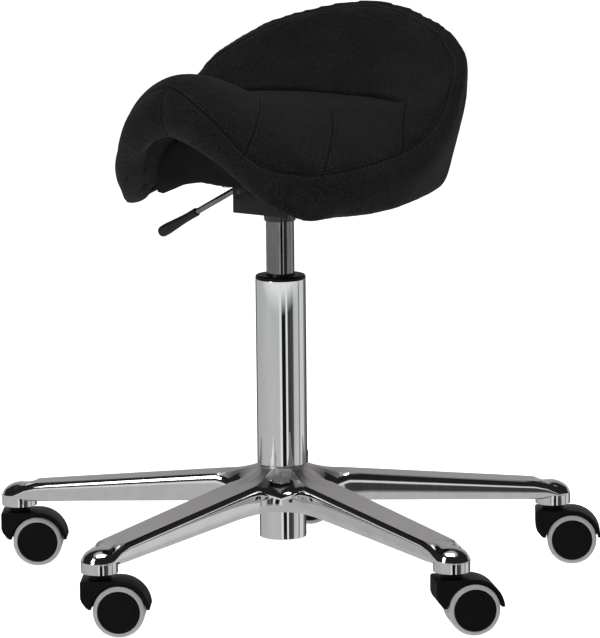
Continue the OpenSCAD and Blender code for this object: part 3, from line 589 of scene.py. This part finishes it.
tube = lathe("chrome_column", [
    (21.7, COLUMN_BOTTOM), (23.2, COLUMN_BOTTOM), (23.6, SHOULDER), (25, SHOULDER + 1), (25, COLUMN_TOP),
    (23.5, COLUMN_TOP), (23.5, SHOULDER + 8), (21.7, SHOULDER + 2)], "column_chrome", 0.5, 160)
settle(tube, "base", ["column_tube"])
collar = lathe("column_collar", [
    (14.1, BUSH_BOTTOM), (23.45, BUSH_BOTTOM), (23.45, COLUMN_TOP), (25, COLUMN_TOP, 0.2), (25, COLLAR_TOP - 1.4, 1),
    (23.8, COLLAR_TOP - 0.2, 1), (15.6, COLLAR_TOP - 0.2, 0.4), (15.2, COLLAR_TOP, 0.2), (14.1, COLLAR_TOP, 0.3)],
    "black_plastic", 0.3, 128)
settle(collar, "base", ["guide_bush"])
cylinder = lathe("gas_cylinder_tube", [
    (12.4, CYLINDER_LOW), (14, CYLINDER_LOW), (14, BOX_BOTTOM - 2), (13.4, CYLINDER_TOP), (12.4, CYLINDER_TOP)],
    "dark_chrome", 0.5, 128)
settle(cylinder, "seat", ["gas_cylinder"])
SOCKET_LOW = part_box("taper_socket")[0].z / MM
socket = lathe("gas_cylinder_socket", [
    (14.05, SOCKET_LOW), (15.6, SOCKET_LOW), (15.6, SOCKET_LOW + 2.2), (16, SOCKET_LOW + 2.6), (16, BOX_BOTTOM),
    (18, BOX_BOTTOM), (18, CYLINDER_TOP), (13.5, CYLINDER_TOP), (14.05, BOX_BOTTOM - 2)],
    "dark_steel", 0.4, 96)
settle(socket, "seat", ["taper_socket"])

# ---- Mechanism and lever ----
softened("mechanism_box", "painted_steel", 1.4)
softened("seat_plate", "painted_steel", 0.8)
softened("lever_arm", "dark_steel", 0.6)

LEVER_DROOP = math.radians(28)
LEVER_BEND_R = 14
LEVER_BEND_X = -40
LEVER_REACH = 145
PIVOT = [c for c in frame["joints"] if c["name"] == "height_lever"][0]["pos_m"]
LEVER_Y, LEVER_Z = PIVOT[1] / MM, PIVOT[2] / MM
droop_dir = Vector((-math.cos(LEVER_DROOP), 0, -math.sin(LEVER_DROOP)))
bend_end = Vector((LEVER_BEND_X - LEVER_BEND_R * math.sin(LEVER_DROOP), LEVER_Y,
                   LEVER_Z - LEVER_BEND_R * (1 - math.cos(LEVER_DROOP))))
tip_run = (LEVER_REACH + bend_end.x) / math.cos(LEVER_DROOP)
rod_path = [Vector((LEVER_BEND_X + 4, LEVER_Y, LEVER_Z))]
rod_path += [Vector((LEVER_BEND_X - LEVER_BEND_R * math.sin(a), LEVER_Y, LEVER_Z - LEVER_BEND_R * (1 - math.cos(a))))
             for a in (LEVER_DROOP * k / 10 for k in range(11))]
rod_path += [bend_end + droop_dir * (tip_run - 8) * k / 4 for k in range(1, 5)]
rod = sweep("height_lever_rod", rod_path, 3, "dark_chrome", 32)
settle(rod, "lever", ["lever_rod"])

GRIP_LENGTH = 54
grip_turn = Vector((0, 0, 1)).rotation_difference(droop_dir).to_matrix().to_4x4()
grip_frame = Matrix.Translation((bend_end + droop_dir * (tip_run - GRIP_LENGTH)) * MM) @ grip_turn
grip_line = smooth_list([(4.1, 0), (4.3, 1.2), (4.2, 12), (4.5, 22), (5.2, 33), (5.75, 42), (5.75, 49), (4.9, 52.6),
                         (3.0, 53.9)], 5)
grip = lathe("height_lever_grip", [(3.02, 0)] + grip_line + [(0, 54), (0, 46), (3.02, 46)], "black_rubber", 0.15, 64,
             place=grip_frame, steps=1)
settle(grip, "lever", ["lever_grip"])

# ---- Castors ----
TURNS = [35.3, 46.4, 36.2, 38, 36.4]
TRAIL = 19
AXLE_Z = 25
WHEEL_IN = 3.4
WHEEL_W = 18
CORE_R = 20.5
WHEEL_R = 25
AXLE_HALF = WHEEL_IN + WHEEL_W - 4
for n in range(ARMS):
    stem = unit(n * 72 - 90) * STEM_CIRCLE
    castor = Matrix.Translation(Vector((stem.x, stem.y, 0)) * MM) @ Matrix.Rotation(math.radians(TURNS[n]), 4, "Z")
    axle = castor @ Matrix.Translation(Vector((TRAIL, 0, AXLE_Z)) * MM)
    softened(f"castor_hood_{n + 1}", "black_plastic", 0.9, 50, 3)
    for side, tilt in (("left", -90), ("right", 90)):
        at = axle @ Matrix.Rotation(math.radians(tilt), 4, "X")
        out = WHEEL_IN + WHEEL_W
        wheel = lathe(f"castor_wheel_{side}_{n + 1}", [
            (3.1, WHEEL_IN), (6, WHEEL_IN), (6, out - 3.5), (CORE_R - 2.5, out - 3.5), (CORE_R - 2.5, WHEEL_IN + 1),
            (CORE_R, WHEEL_IN + 1), (CORE_R, out - 1.1, 0.5), (CORE_R - 1.2, out - 0.5, 0.8),
            (CORE_R - 3, out - 0.35, 0.6), (CORE_R - 3.4, out - 0.7, 0.3), (CORE_R - 4.2, out - 0.7, 0.3),
            (CORE_R - 4.8, out - 0.3, 0.5), (4, out, 3), (0, out), (0, AXLE_HALF + 0.4), (3.1, AXLE_HALF + 0.4)],
            "black_plastic", 0.4, 72, at)
        settle(wheel, f"{side}_wheel_{n + 1}", [f"wheel_{side}_{n + 1}"])
        tread = lathe(f"castor_tread_{side}_{n + 1}", [
            (CORE_R, WHEEL_IN + 1), (WHEEL_R - 1.5, WHEEL_IN + 1), (WHEEL_R, WHEEL_IN + 2.5, 1.2),
            (WHEEL_R, out - 4, 2.5), (WHEEL_R - 0.9, out - 1.9, 1), (WHEEL_R - 3, out - 1, 1), (CORE_R, out - 1)],
            "grey_tread", 0.4, 96, at)
        settle(tread, f"{side}_wheel_{n + 1}", [f"tread_{side}_{n + 1}"])

# ---- Seat ----
SHELL_Z = 409
SEAT_BACK = 8
COVER_T = 1.5
SHELL_T = 9
HEM_DEPTH = 22
FLAT_R = 86
# The saddle every 15 degrees from the front, radii and heights above the shell's middle. The hem hangs up to 10 mm
# lower at the flanks than the CAD cover's, and the rim at the back stands up to 4 mm higher
CREST_R = [184, 186, 177, 163, 156, 157, 162, 173, 175, 164, 154, 148, 147]
CREST_Z = [106, 80, 35, 22, 23, 30, 43, 74, 110, 140, 156, 165, 168]
SIDE_R = [190, 189, 181, 168, 167, 171, 177, 184, 184, 178, 166, 160, 159]
SIDE_Z = [83, 58, 18, 9, 7, 11, 21, 52, 99, 112, 122, 128, 132]
HEM_R = [183, 180, 170, 159, 152, 152, 152, 158, 162, 155, 144, 138, 136]
HEM_Z = [55, 36, -5, -27, -27, -26, -21, -13, -4, 1, 4, 5, 6]
INNER_Z = [86, 84, 79, 74, 71, 70, 70, 71, 72, 73, 74, 74, 74]
MIDDLE_Z = [109, 100, 78, 64, 58, 58, 62, 68, 72, 75, 77, 78, 78]
OUTER_Z = [117, 101, 60, 41, 38, 41, 50, 68, 87, 102, 110, 114, 116]
TIP_R = [172, 169, 158, 145, 141, 142, 145, 158, 164, 161, 152, 146, 145]
TIP_Z = [68, 49, 10, -12, -12, -4, 5, 26, 74, 94, 106, 112, 114]
CENTRE_Z = 72
CREST_EASE = 8


def at(values, angle):
    t = angle / 15
    i = math.floor(t)
    four = []
    for k in (i - 1, i, i + 1, i + 2):
        m = k % 24
        four.append(values[24 - m if m > 12 else m])
    return curve(*four, t - i)


def along(points, steps):
    """Smooth half section through the points, with a number of steps for each stretch."""
    out = []
    for i, count in enumerate(steps):
        four = [points[max(i - 1, 0)], points[i], points[i + 1], points[min(i + 2, len(points) - 1)]]
        out += [Vector([curve(*(p[k] for p in four), s / count) for k in (0, 1)]) for s in range(count)]
    return out + [Vector(points[-1])]


def eased(line, first=1, last=1):
    """The line with its points drawn towards their neighbours, but for its first and last few."""
    end = len(line) - last
    middle = [(line[i - 1] + line[i] * 2 + line[i + 1]) / 4 for i in range(first, end)]
    return line[:first] + middle + line[end:]


def inset(points, depth):
    out = []
    for i, p in enumerate(points):
        v = points[min(i + 1, len(points) - 1)] - points[max(i - 1, 0)]
        across = Vector((v.y, -v.x)).normalized()
        out.append(p - Vector((0, depth)) if i == 0 else p + depth * across)
    return out


def outside(a, depth=0.0):
    rc, rh, zh = at(CREST_R, a), at(HEM_R, a), at(HEM_Z, a)
    knots = [(0, CENTRE_Z), (0.3 * rc, at(INNER_Z, a)), (0.6 * rc, at(MIDDLE_Z, a)), (0.85 * rc, at(OUTER_Z, a)),
             (rc, at(CREST_Z, a)), (at(SIDE_R, a), at(SIDE_Z, a)), (rh, zh), (rh - HEM_DEPTH, zh + 8)]
    line = along(knots, (4, 5, 5, 8, 10, 8, 5))
    for _ in range(CREST_EASE):
        line = eased(line, 14, 7)
    return inset(line, depth) if depth else line


def shell_under(a):
    rh, zh = at(HEM_R, a), at(HEM_Z, a)
    knots = [(FLAT_R, 0), (rh - HEM_DEPTH, zh + 8 + COVER_T), (at(TIP_R, a), at(TIP_Z, a))]
    return [Vector((0, 0))] + along(knots, (6, 6))


def on_seat(p, a):
    a = math.radians(a)
    return Vector((p.x * math.sin(a), SEAT_BACK - p.x * math.cos(a), SHELL_Z + p.y))


def seat_solid(name, sections, finish):
    """Closed solid from half sections that start and end on the axis."""
    s, n = len(sections), len(sections[0])
    verts = [on_seat(p, j * 360 / s) for j, section in enumerate(sections) for p in section]
    faces = [(j * n + i, ((j + 1) % s) * n + i, ((j + 1) % s) * n + i + 1, j * n + i + 1)
             for j in range(s) for i in range(n - 1)]
    return new_piece(name, verts, faces, finish, sharp=180)


STATIONS = 180
# The cushion starts a little smaller than the cover, so that it can swell
SHRINK = 1.8
SKIN_GRID = 4.0
SWELL_CAP = 5.5
SWELL_FRAMES = 20


def cushion_section(a):
    under = shell_under(a)
    over = [p + Vector((0, SHELL_T)) if i < 2 else p for i, p in enumerate(inset(under, -SHELL_T))]
    over[0] = Vector((0, SHELL_T))
    over[1] = Vector((FLAT_R, SHELL_T))
    return outside(a, SHRINK) + under[-6:] + over[::-1]


cushion = seat_solid("seat_cushion", [cushion_section(j * 360 / STATIONS) for j in range(STATIONS)], "black_fabric")


def surface_of(piece):
    mesh = piece.data
    return BVHTree.FromPolygons([v.co for v in mesh.vertices], [p.vertices[:] for p in mesh.polygons])


def laid_back(piece, guide):
    """Puts every vertex straight out, or in, onto the surface the mesh was made from."""
    vertices = piece.data.vertices
    normals = [v.normal.copy() for v in vertices]
    for v, normal in zip(vertices, normals):
        near, facing, _, far = guide.find_nearest(v.co)
        side = 1 if (near - v.co).dot(facing) > 0 else -1
        hit = guide.ray_cast(v.co, normal * side, 2 * far + 1 * MM)[0]
        v.co = near if hit is None else hit


def even_skin(piece):
    """Remakes the piece with an even grid of faces that lies on its own surface."""
    guide = surface_of(piece)
    remesh = piece.modifiers.new("skin", "REMESH")
    remesh.mode, remesh.voxel_size = "VOXEL", SKIN_GRID * MM
    for passes in (6, 3, 2):
        ease = piece.modifiers.new("ease", "SMOOTH")
        ease.factor, ease.iterations = 0.5, passes
        baked(piece)
        laid_back(piece, guide)


def swell(piece):
    """Fills the cushion: cloth under pressure, held where it is fixed to the shell, moved no more than the cap."""
    cap = SWELL_CAP * MM
    mesh = piece.data
    rest = [v.co.copy() for v in mesh.vertices]
    hold = piece.vertex_groups.new(name="hold")
    lowest = [at(HEM_Z, a) for a in range(360)]
    for v in mesh.vertices:
        x, y, z = v.co.x / MM, v.co.y / MM - SEAT_BACK, v.co.z / MM - SHELL_Z
        a = math.degrees(math.atan2(x, -y)) % 360
        r = math.hypot(x, y)
        if r < at(HEM_R, a) - 12 and z < (lowest[int(a)] + 16 if r > FLAT_R + 20 else SHELL_T + 4):
            hold.add([v.index], 1.0, "REPLACE")
    cloth = piece.modifiers.new("cloth", "CLOTH")
    settings = cloth.settings
    settings.quality, settings.mass = 4, 0.3
    settings.tension_stiffness = settings.compression_stiffness = 14
    settings.shear_stiffness, settings.bending_stiffness = 5, 0.6
    settings.use_pressure, settings.uniform_pressure_force = True, 4
    settings.vertex_group_mass = "hold"
    settings.effector_weights.gravity = 0
    cloth.point_cache.frame_start, cloth.point_cache.frame_end = 1, SWELL_FRAMES
    for f in range(1, SWELL_FRAMES + 1):
        scene.frame_set(f)
    graph = bpy.context.evaluated_depsgraph_get()
    moved = [v.co.copy() for v in piece.evaluated_get(graph).data.vertices]
    piece.modifiers.clear()
    piece.vertex_groups.clear()
    for v, start, end in zip(mesh.vertices, rest, moved):
        shift = end - start
        v.co = start + (shift * (cap / shift.length) if shift.length > cap else shift)
    scene.frame_set(1)


def refine(piece):
    smooth = piece.modifiers.new("round", "SUBSURF")
    smooth.levels = smooth.render_levels = 1
    ease = piece.modifiers.new("ease", "SMOOTH")
    ease.factor, ease.iterations = 0.5, 10
    baked(piece)
    piece.data.shade_smooth()


even_skin(cushion)
swell(cushion)
refine(cushion)

# Seams in object-frame millimetres: the sewn lines of the cover, each with its depth and its number of stitch rows
def crest(a):
    """The crest seam: on the edge at the flanks, and inside the rim's edge at the back."""
    tuck = min(max((a - 95) / 30, 0), 1)
    return tuple(on_seat(Vector((at(CREST_R, a) * (1 - 0.07 * tuck), at(CREST_Z, a) + 2)), a))


RIGHT_CREST = [crest(a) for a in range(0, 181, 6)]
PAN_MID = [(61, 4, 477), (88, -26, 466), (114, -71, 444), (127, -94, 429)]
PAN_FRONT = [(23, -60, 495), (61, -112, 485), (77, -144, 463), (82, -160, 451)]
PAN_BACK = [(113, 62, 484), (119, 51, 479), (136, 23, 466), (154, -1, 451), (160, -10, 445)]
CREASE = [(113, 62, 484), (88, 75, 486), (46, 89, 487), (0, 92, 486)]
POMMEL = [(0, -150, 524), (0, -172, 516), (0, -183, 500), (0, -182, 478), (0, -176, 462)]


def both_sides(path):
    """The path, and its mirror image on the sitter's right."""
    return [path, [(-x, y, z) for x, y, z in path]]


SEAMS = [(p, 1.6, 2) for p in both_sides(RIGHT_CREST)]
SEAMS += [(p, 1.3, 2) for p in both_sides(PAN_MID) + both_sides(PAN_FRONT) + both_sides(PAN_BACK)]
SEAMS += [(p, 8.0, 0) for p in both_sides(CREASE)]
SEAMS += [(POMMEL, 1.0, 1)]
# Half widths of a seam's fine groove, of its broad hollow, and of the painted shade that darkens the cloth along its
# bottom
VALLEY_W, HOLLOW_W, SEAM_SHADE_W = 2.2, 9, 1.8


def laid_on(tree, path, spacing_mm=2.0):
    """Evenly spaced points, with normals, where a smooth path lies on the surface."""
    line = [Vector(p) * MM for p in smooth_list(path, 8)]
    for _ in range(3):
        line = [tree.find_nearest(p)[0] for p in line]
        for _ in range(6):
            line = eased(line)
    even, ahead = [line[0]], spacing_mm * MM
    for start, end in zip(line, line[1:]):
        far = (end - start).length
        while far > 0 and ahead <= far:
            even.append(start.lerp(end, ahead / far))
            ahead += spacing_mm * MM
        ahead -= far
    found = [tree.find_nearest(p) for p in even]
    return [f[0] for f in found], [f[1] for f in found]


def sew(piece):
    """Draws the cloth in along each seam: a fine groove on a broad shallow one. Also stores the painted shade that
    darkens the cloth along each seam's bottom.
    """
    tree = surface_of(piece)
    lines = [(laid_on(tree, path), depth) for path, depth, _ in SEAMS]
    finder = KDTree(sum(len(line[0]) for line, _ in lines))
    depths, k = [], 0
    for (points, _), depth in lines:
        for p in points:
            finder.insert(p, k)
            depths.append(depth)
            k += 1
    finder.balance()
    shifts, painted_seam_shade = [], []
    for v in piece.data.vertices:
        _, index, far = finder.find(v.co)
        far /= MM
        depth = depths[index]
        narrow = math.exp(-((far / VALLEY_W) ** 2)) * depth * 0.75
        broad = math.exp(-((far / (HOLLOW_W + depth)) ** 2)) * depth * 0.8
        shifts.append(narrow + broad)
        # Painted shade: how much the cloth is darkened here, strongest at a seam's bottom and for deeper seams
        painted_seam_shade.append(min(math.exp(-((far / SEAM_SHADE_W) ** 2)) * (0.5 + depth / 5), 1))
    piece.data.attributes.new("painted_seam_shade", "FLOAT", "POINT").data.foreach_set("value", painted_seam_shade)
    normals = [v.normal.copy() for v in piece.data.vertices]
    for v, normal, shift in zip(piece.data.vertices, normals, shifts):
        ripple = noise.noise(v.co * 24) * 0.4 + noise.noise(v.co * 70) * 0.1
        rim = min(max((v.co.z - 0.51) / 0.03, 0), 1) * min(max(v.co.y / 0.05, 0), 1)
        ripple += rim * 0.2 * noise.noise(Vector((v.co.x * 75, v.co.y * 60, v.co.z * 9)))
        v.co -= normal * (shift + ripple) * MM


sew(cushion)
settle(cushion, "seat", ["seat_foam", "seat_cover"])


# ---- Stitches ----
def stitch_tree():
    """Geometry Nodes: stitches of a set length laid along a line, each a small rounded peg of thread."""
    tree = bpy.data.node_groups.new("stitches", "GeometryNodeTree")
    face = tree.interface
    face.new_socket("Geometry", in_out="INPUT", socket_type="NodeSocketGeometry")
    for name in ("Spacing", "Thread radius", "Stitch length"):
        face.new_socket(name, in_out="INPUT", socket_type="NodeSocketFloat")
    face.new_socket("Geometry", in_out="OUTPUT", socket_type="NodeSocketGeometry")
    source = add(tree, "NodeGroupInput").outputs
    line = add(tree, "GeometryNodeMeshToCurve", {"Mesh": source["Geometry"]}).outputs["Curve"]
    spots = add(tree, "GeometryNodeCurveToPoints", {"Curve": line, "Length": source["Spacing"]}, mode="LENGTH")
    peg = add(tree, "GeometryNodeMeshUVSphere", {"Segments": 6, "Rings": 4, "Radius": 1.0})
    size = add(tree, "ShaderNodeCombineXYZ", {"X": source["Thread radius"], "Y": source["Thread radius"],
                                             "Z": source["Stitch length"]})
    placed = add(tree, "GeometryNodeInstanceOnPoints", {
        "Points": spots.outputs["Points"], "Instance": peg.outputs["Mesh"],
        "Rotation": spots.outputs["Rotation"], "Scale": size.outputs["Vector"]})
    real = add(tree, "GeometryNodeRealizeInstances", {"Geometry": placed.outputs["Instances"]})
    done = add(tree, "GeometryNodeSetMaterial", {
        "Geometry": real.outputs["Geometry"], "Material": FINISHES["thread"]})
    add(tree, "NodeGroupOutput", {0: done.outputs["Geometry"]})
    return tree


def make_stitches():
    tree = surface_of(cushion)
    verts, edges = [], []
    for path, _, rows in SEAMS:
        points, normals = laid_on(tree, path, 3.0)
        for side in {0: (), 1: (-1.6,), 2: (-2.6, 2.6)}[rows]:
            first = len(verts)
            for i, (p, n) in enumerate(zip(points, normals)):
                ahead = (points[min(i + 1, len(points) - 1)] - points[max(i - 1, 0)]).normalized()
                q, normal, _, _ = tree.find_nearest(p + n.cross(ahead) * side * MM)
                verts.append(q + normal * 0.05 * MM)
            edges += [(k, k + 1) for k in range(first, len(verts) - 1)]
    mesh = bpy.data.meshes.new("seat_stitching")
    mesh.from_pydata(verts, edges, [])
    piece = bpy.data.objects.new("seat_stitching", mesh)
    scene.collection.objects.link(piece)
    group = stitch_tree()
    pegs = piece.modifiers.new("stitches", "NODES")
    pegs.node_group = group
    sizes = {"Spacing": 3.6 * MM, "Thread radius": 0.32 * MM, "Stitch length": 1.45 * MM}
    for item in group.interface.items_tree:
        if item.name in sizes:
            pegs[item.identifier] = sizes[item.name]
    baked(piece)
    piece.data.shade_smooth()
    return settle(piece, "seat")


make_stitches()


# ---- Lining under the seat ----
def make_lining():
    """Felt stretched over the shell's underside, from the seat plate out to the hem, with a few soft wrinkles."""
    inner, thick = 50.0, 0.7
    lower, upper = [], []
    rows = 0
    for j in range(STATIONS):
        a = j * 360 / STATIONS
        under = shell_under(a)
        line = [Vector((inner + (FLAT_R - inner) * k / 6, 0)) for k in range(6)]
        line += under[1:6] + [under[5].lerp(under[6], 0.5)]
        fold = [noise.noise(Vector((math.radians(a) * 5, p.x * 0.02, 3))) for p in line]
        drop = [min(i / 2, 1) * min((len(line) - 1 - i) / 2, 1) * 1.6 * abs(f) for i, f in enumerate(fold)]
        gap = [1.0 - 2.6 * max(i + 2 - len(line), 0) for i in range(len(line))]
        upper.append([p - Vector((0, g)) for p, g in zip(line, gap)])
        lower.append([p - Vector((0, g + thick + d)) for p, g, d in zip(line, gap, drop)])
        rows = len(line)
    sections = [low + up[::-1] for low, up in zip(lower, upper)]
    s, n = STATIONS, 2 * rows
    verts = [on_seat(p, j * 360 / s) for j, section in enumerate(sections) for p in section]
    faces = [(j * n + i, ((j + 1) % s) * n + i, ((j + 1) % s) * n + (i + 1) % n, j * n + (i + 1) % n)
             for j in range(s) for i in range(n)]
    piece = new_piece("seat_lining", verts, faces, "black_felt", sharp=60)
    return settle(piece, "seat", ["dust_cover", "seat_shell"])


make_lining()


# ---- Studio ----
def make_floor():
    made, tree = start_material("studio_floor")
    place = add(tree, "ShaderNodeTexCoord").outputs["Object"]
    tone = add(tree, "ShaderNodeTexNoise", {"Vector": place, "Scale": 3.0})
    colour = ramp(tree, tone.outputs["Fac"], [(0.3, linear("#f2f2f2")), (0.7, linear("#f6f6f6"))])
    matt = add(tree, "ShaderNodeBsdfDiffuse", {"Color": colour})
    glow = add(tree, "ShaderNodeEmission", {"Color": (1, 1, 1, 1), "Strength": 0.92})
    both = add(tree, "ShaderNodeAddShader", {0: matt.outputs[0], 1: glow.outputs[0]})
    add(tree, "ShaderNodeOutputMaterial", {"Surface": both.outputs[0]})
    mesh = bpy.data.meshes.new("studio_floor")
    far = 80
    mesh.from_pydata([(-far, -far, 0), (far, -far, 0), (far, far, 0), (-far, far, 0)], [], [(0, 1, 2, 3)])
    mesh.materials.append(made)
    floor = bpy.data.objects.new("studio_floor", mesh)
    floor.visible_glossy = False
    scene.collection.objects.link(floor)


# Brightness of the studio walls round the stool: degrees to the right of the camera's heading, brightness
WALLS = [(-180, 0.05), (-150, 0.07), (-142, 0.5), (-60, 0.6), (-9, 0.6), (-6, 0.95), (1.5, 1.0), (3, 0.01),
         (20, 0.01), (21.5, 1.0), (28, 1.0), (30.5, 0.05), (55, 0.08), (60, 0.62), (84, 0.7), (86, 0.3), (93, 0.3),
         (95, 0.8), (122, 0.75), (126, 0.25), (140, 0.2), (145, 0.05), (180, 0.05)]
# Brightness of the wall behind the stool, of the strip at eye level, of the dark above it, and above and below all
REAR = 0.42
HORIZON = 0.95
UPPER = 0.02
CEILING = 0.55
BELOW = 0.6


def make_world():
    world = bpy.data.worlds.new("studio")
    scene.world = world
    world.use_nodes = True
    tree = world.node_tree
    tree.nodes.clear()
    back, right = heading(CAMERA_AZIMUTH)
    way = add(tree, "ShaderNodeTexCoord").outputs["Generated"]
    ahead = add(tree, "ShaderNodeVectorMath", {0: way, 1: back}, operation="DOT_PRODUCT").outputs["Value"]
    aside = add(tree, "ShaderNodeVectorMath", {0: way, 1: right}, operation="DOT_PRODUCT").outputs["Value"]
    turn = add(tree, "ShaderNodeMath", {0: aside, 1: ahead}, operation="ARCTAN2").outputs[0]

    def share(value, start, end):
        return add(tree, "ShaderNodeMapRange", {"Value": value, "From Min": start, "From Max": end}).outputs["Result"]

    def mixed(factor, under, grey):
        over = (grey, grey, grey, 1)
        return add(tree, "ShaderNodeMix", {0: factor, 6: under, 7: over}, data_type="RGBA").outputs[2]

    walls = ramp(tree, share(turn, -math.pi, math.pi), [((d + 180) / 360, (b, b, b, 1)) for d, b in WALLS])
    height = add(tree, "ShaderNodeSeparateXYZ", {0: way}).outputs["Z"]
    behind, raised = share(ahead, -0.6, -0.8), share(height, 0.0, 0.08)
    rear = add(tree, "ShaderNodeMath", {0: behind, 1: raised}, operation="MULTIPLY").outputs[0]
    room = mixed(share(height, -0.03, 0.02), walls, HORIZON)
    room = mixed(share(height, 0.1, 0.16), room, UPPER)
    room = mixed(rear, room, REAR)
    room = mixed(share(height, 0.86, 0.93), room, CEILING)
    room = mixed(share(height, -0.4, -0.6), room, BELOW)
    lit = add(tree, "ShaderNodeBackground", {"Color": room, "Strength": 1.0})
    plain = add(tree, "ShaderNodeBackground", {"Color": (1, 1, 1, 1), "Strength": 1.0})
    seen = add(tree, "ShaderNodeLightPath").outputs["Is Camera Ray"]
    final = add(tree, "ShaderNodeMixShader", {0: seen, 1: lit.outputs[0], 2: plain.outputs[0]})
    add(tree, "ShaderNodeOutputWorld", {"Surface": final.outputs[0]})


def make_light(name, place, aim, size, power):
    data = bpy.data.lights.new(name, "AREA")
    data.shape, data.size, data.size_y, data.energy = "RECTANGLE", size[0], size[1], power
    light = bpy.data.objects.new(name, data)
    scene.collection.objects.link(light)
    aimed = (Vector(aim) - Vector(place)).to_track_quat("-Z", "Y").to_matrix().to_4x4()
    light.matrix_world = Matrix.Translation(place) @ aimed
    light.visible_camera = False


make_floor()
make_world()
back, right = heading(CAMERA_AZIMUTH)
make_light("softbox_over", back * 0.6 + Vector((0, 0, 2.4)), (0, 0, 0.3), (1.6, 1.0), 34)
make_light("softbox_left", back * 1.6 - right * 1.8 + Vector((0, 0, 1.5)), (0, 0, 0.35), (0.7, 1.2), 16)
scene.view_settings.view_transform = "Standard"
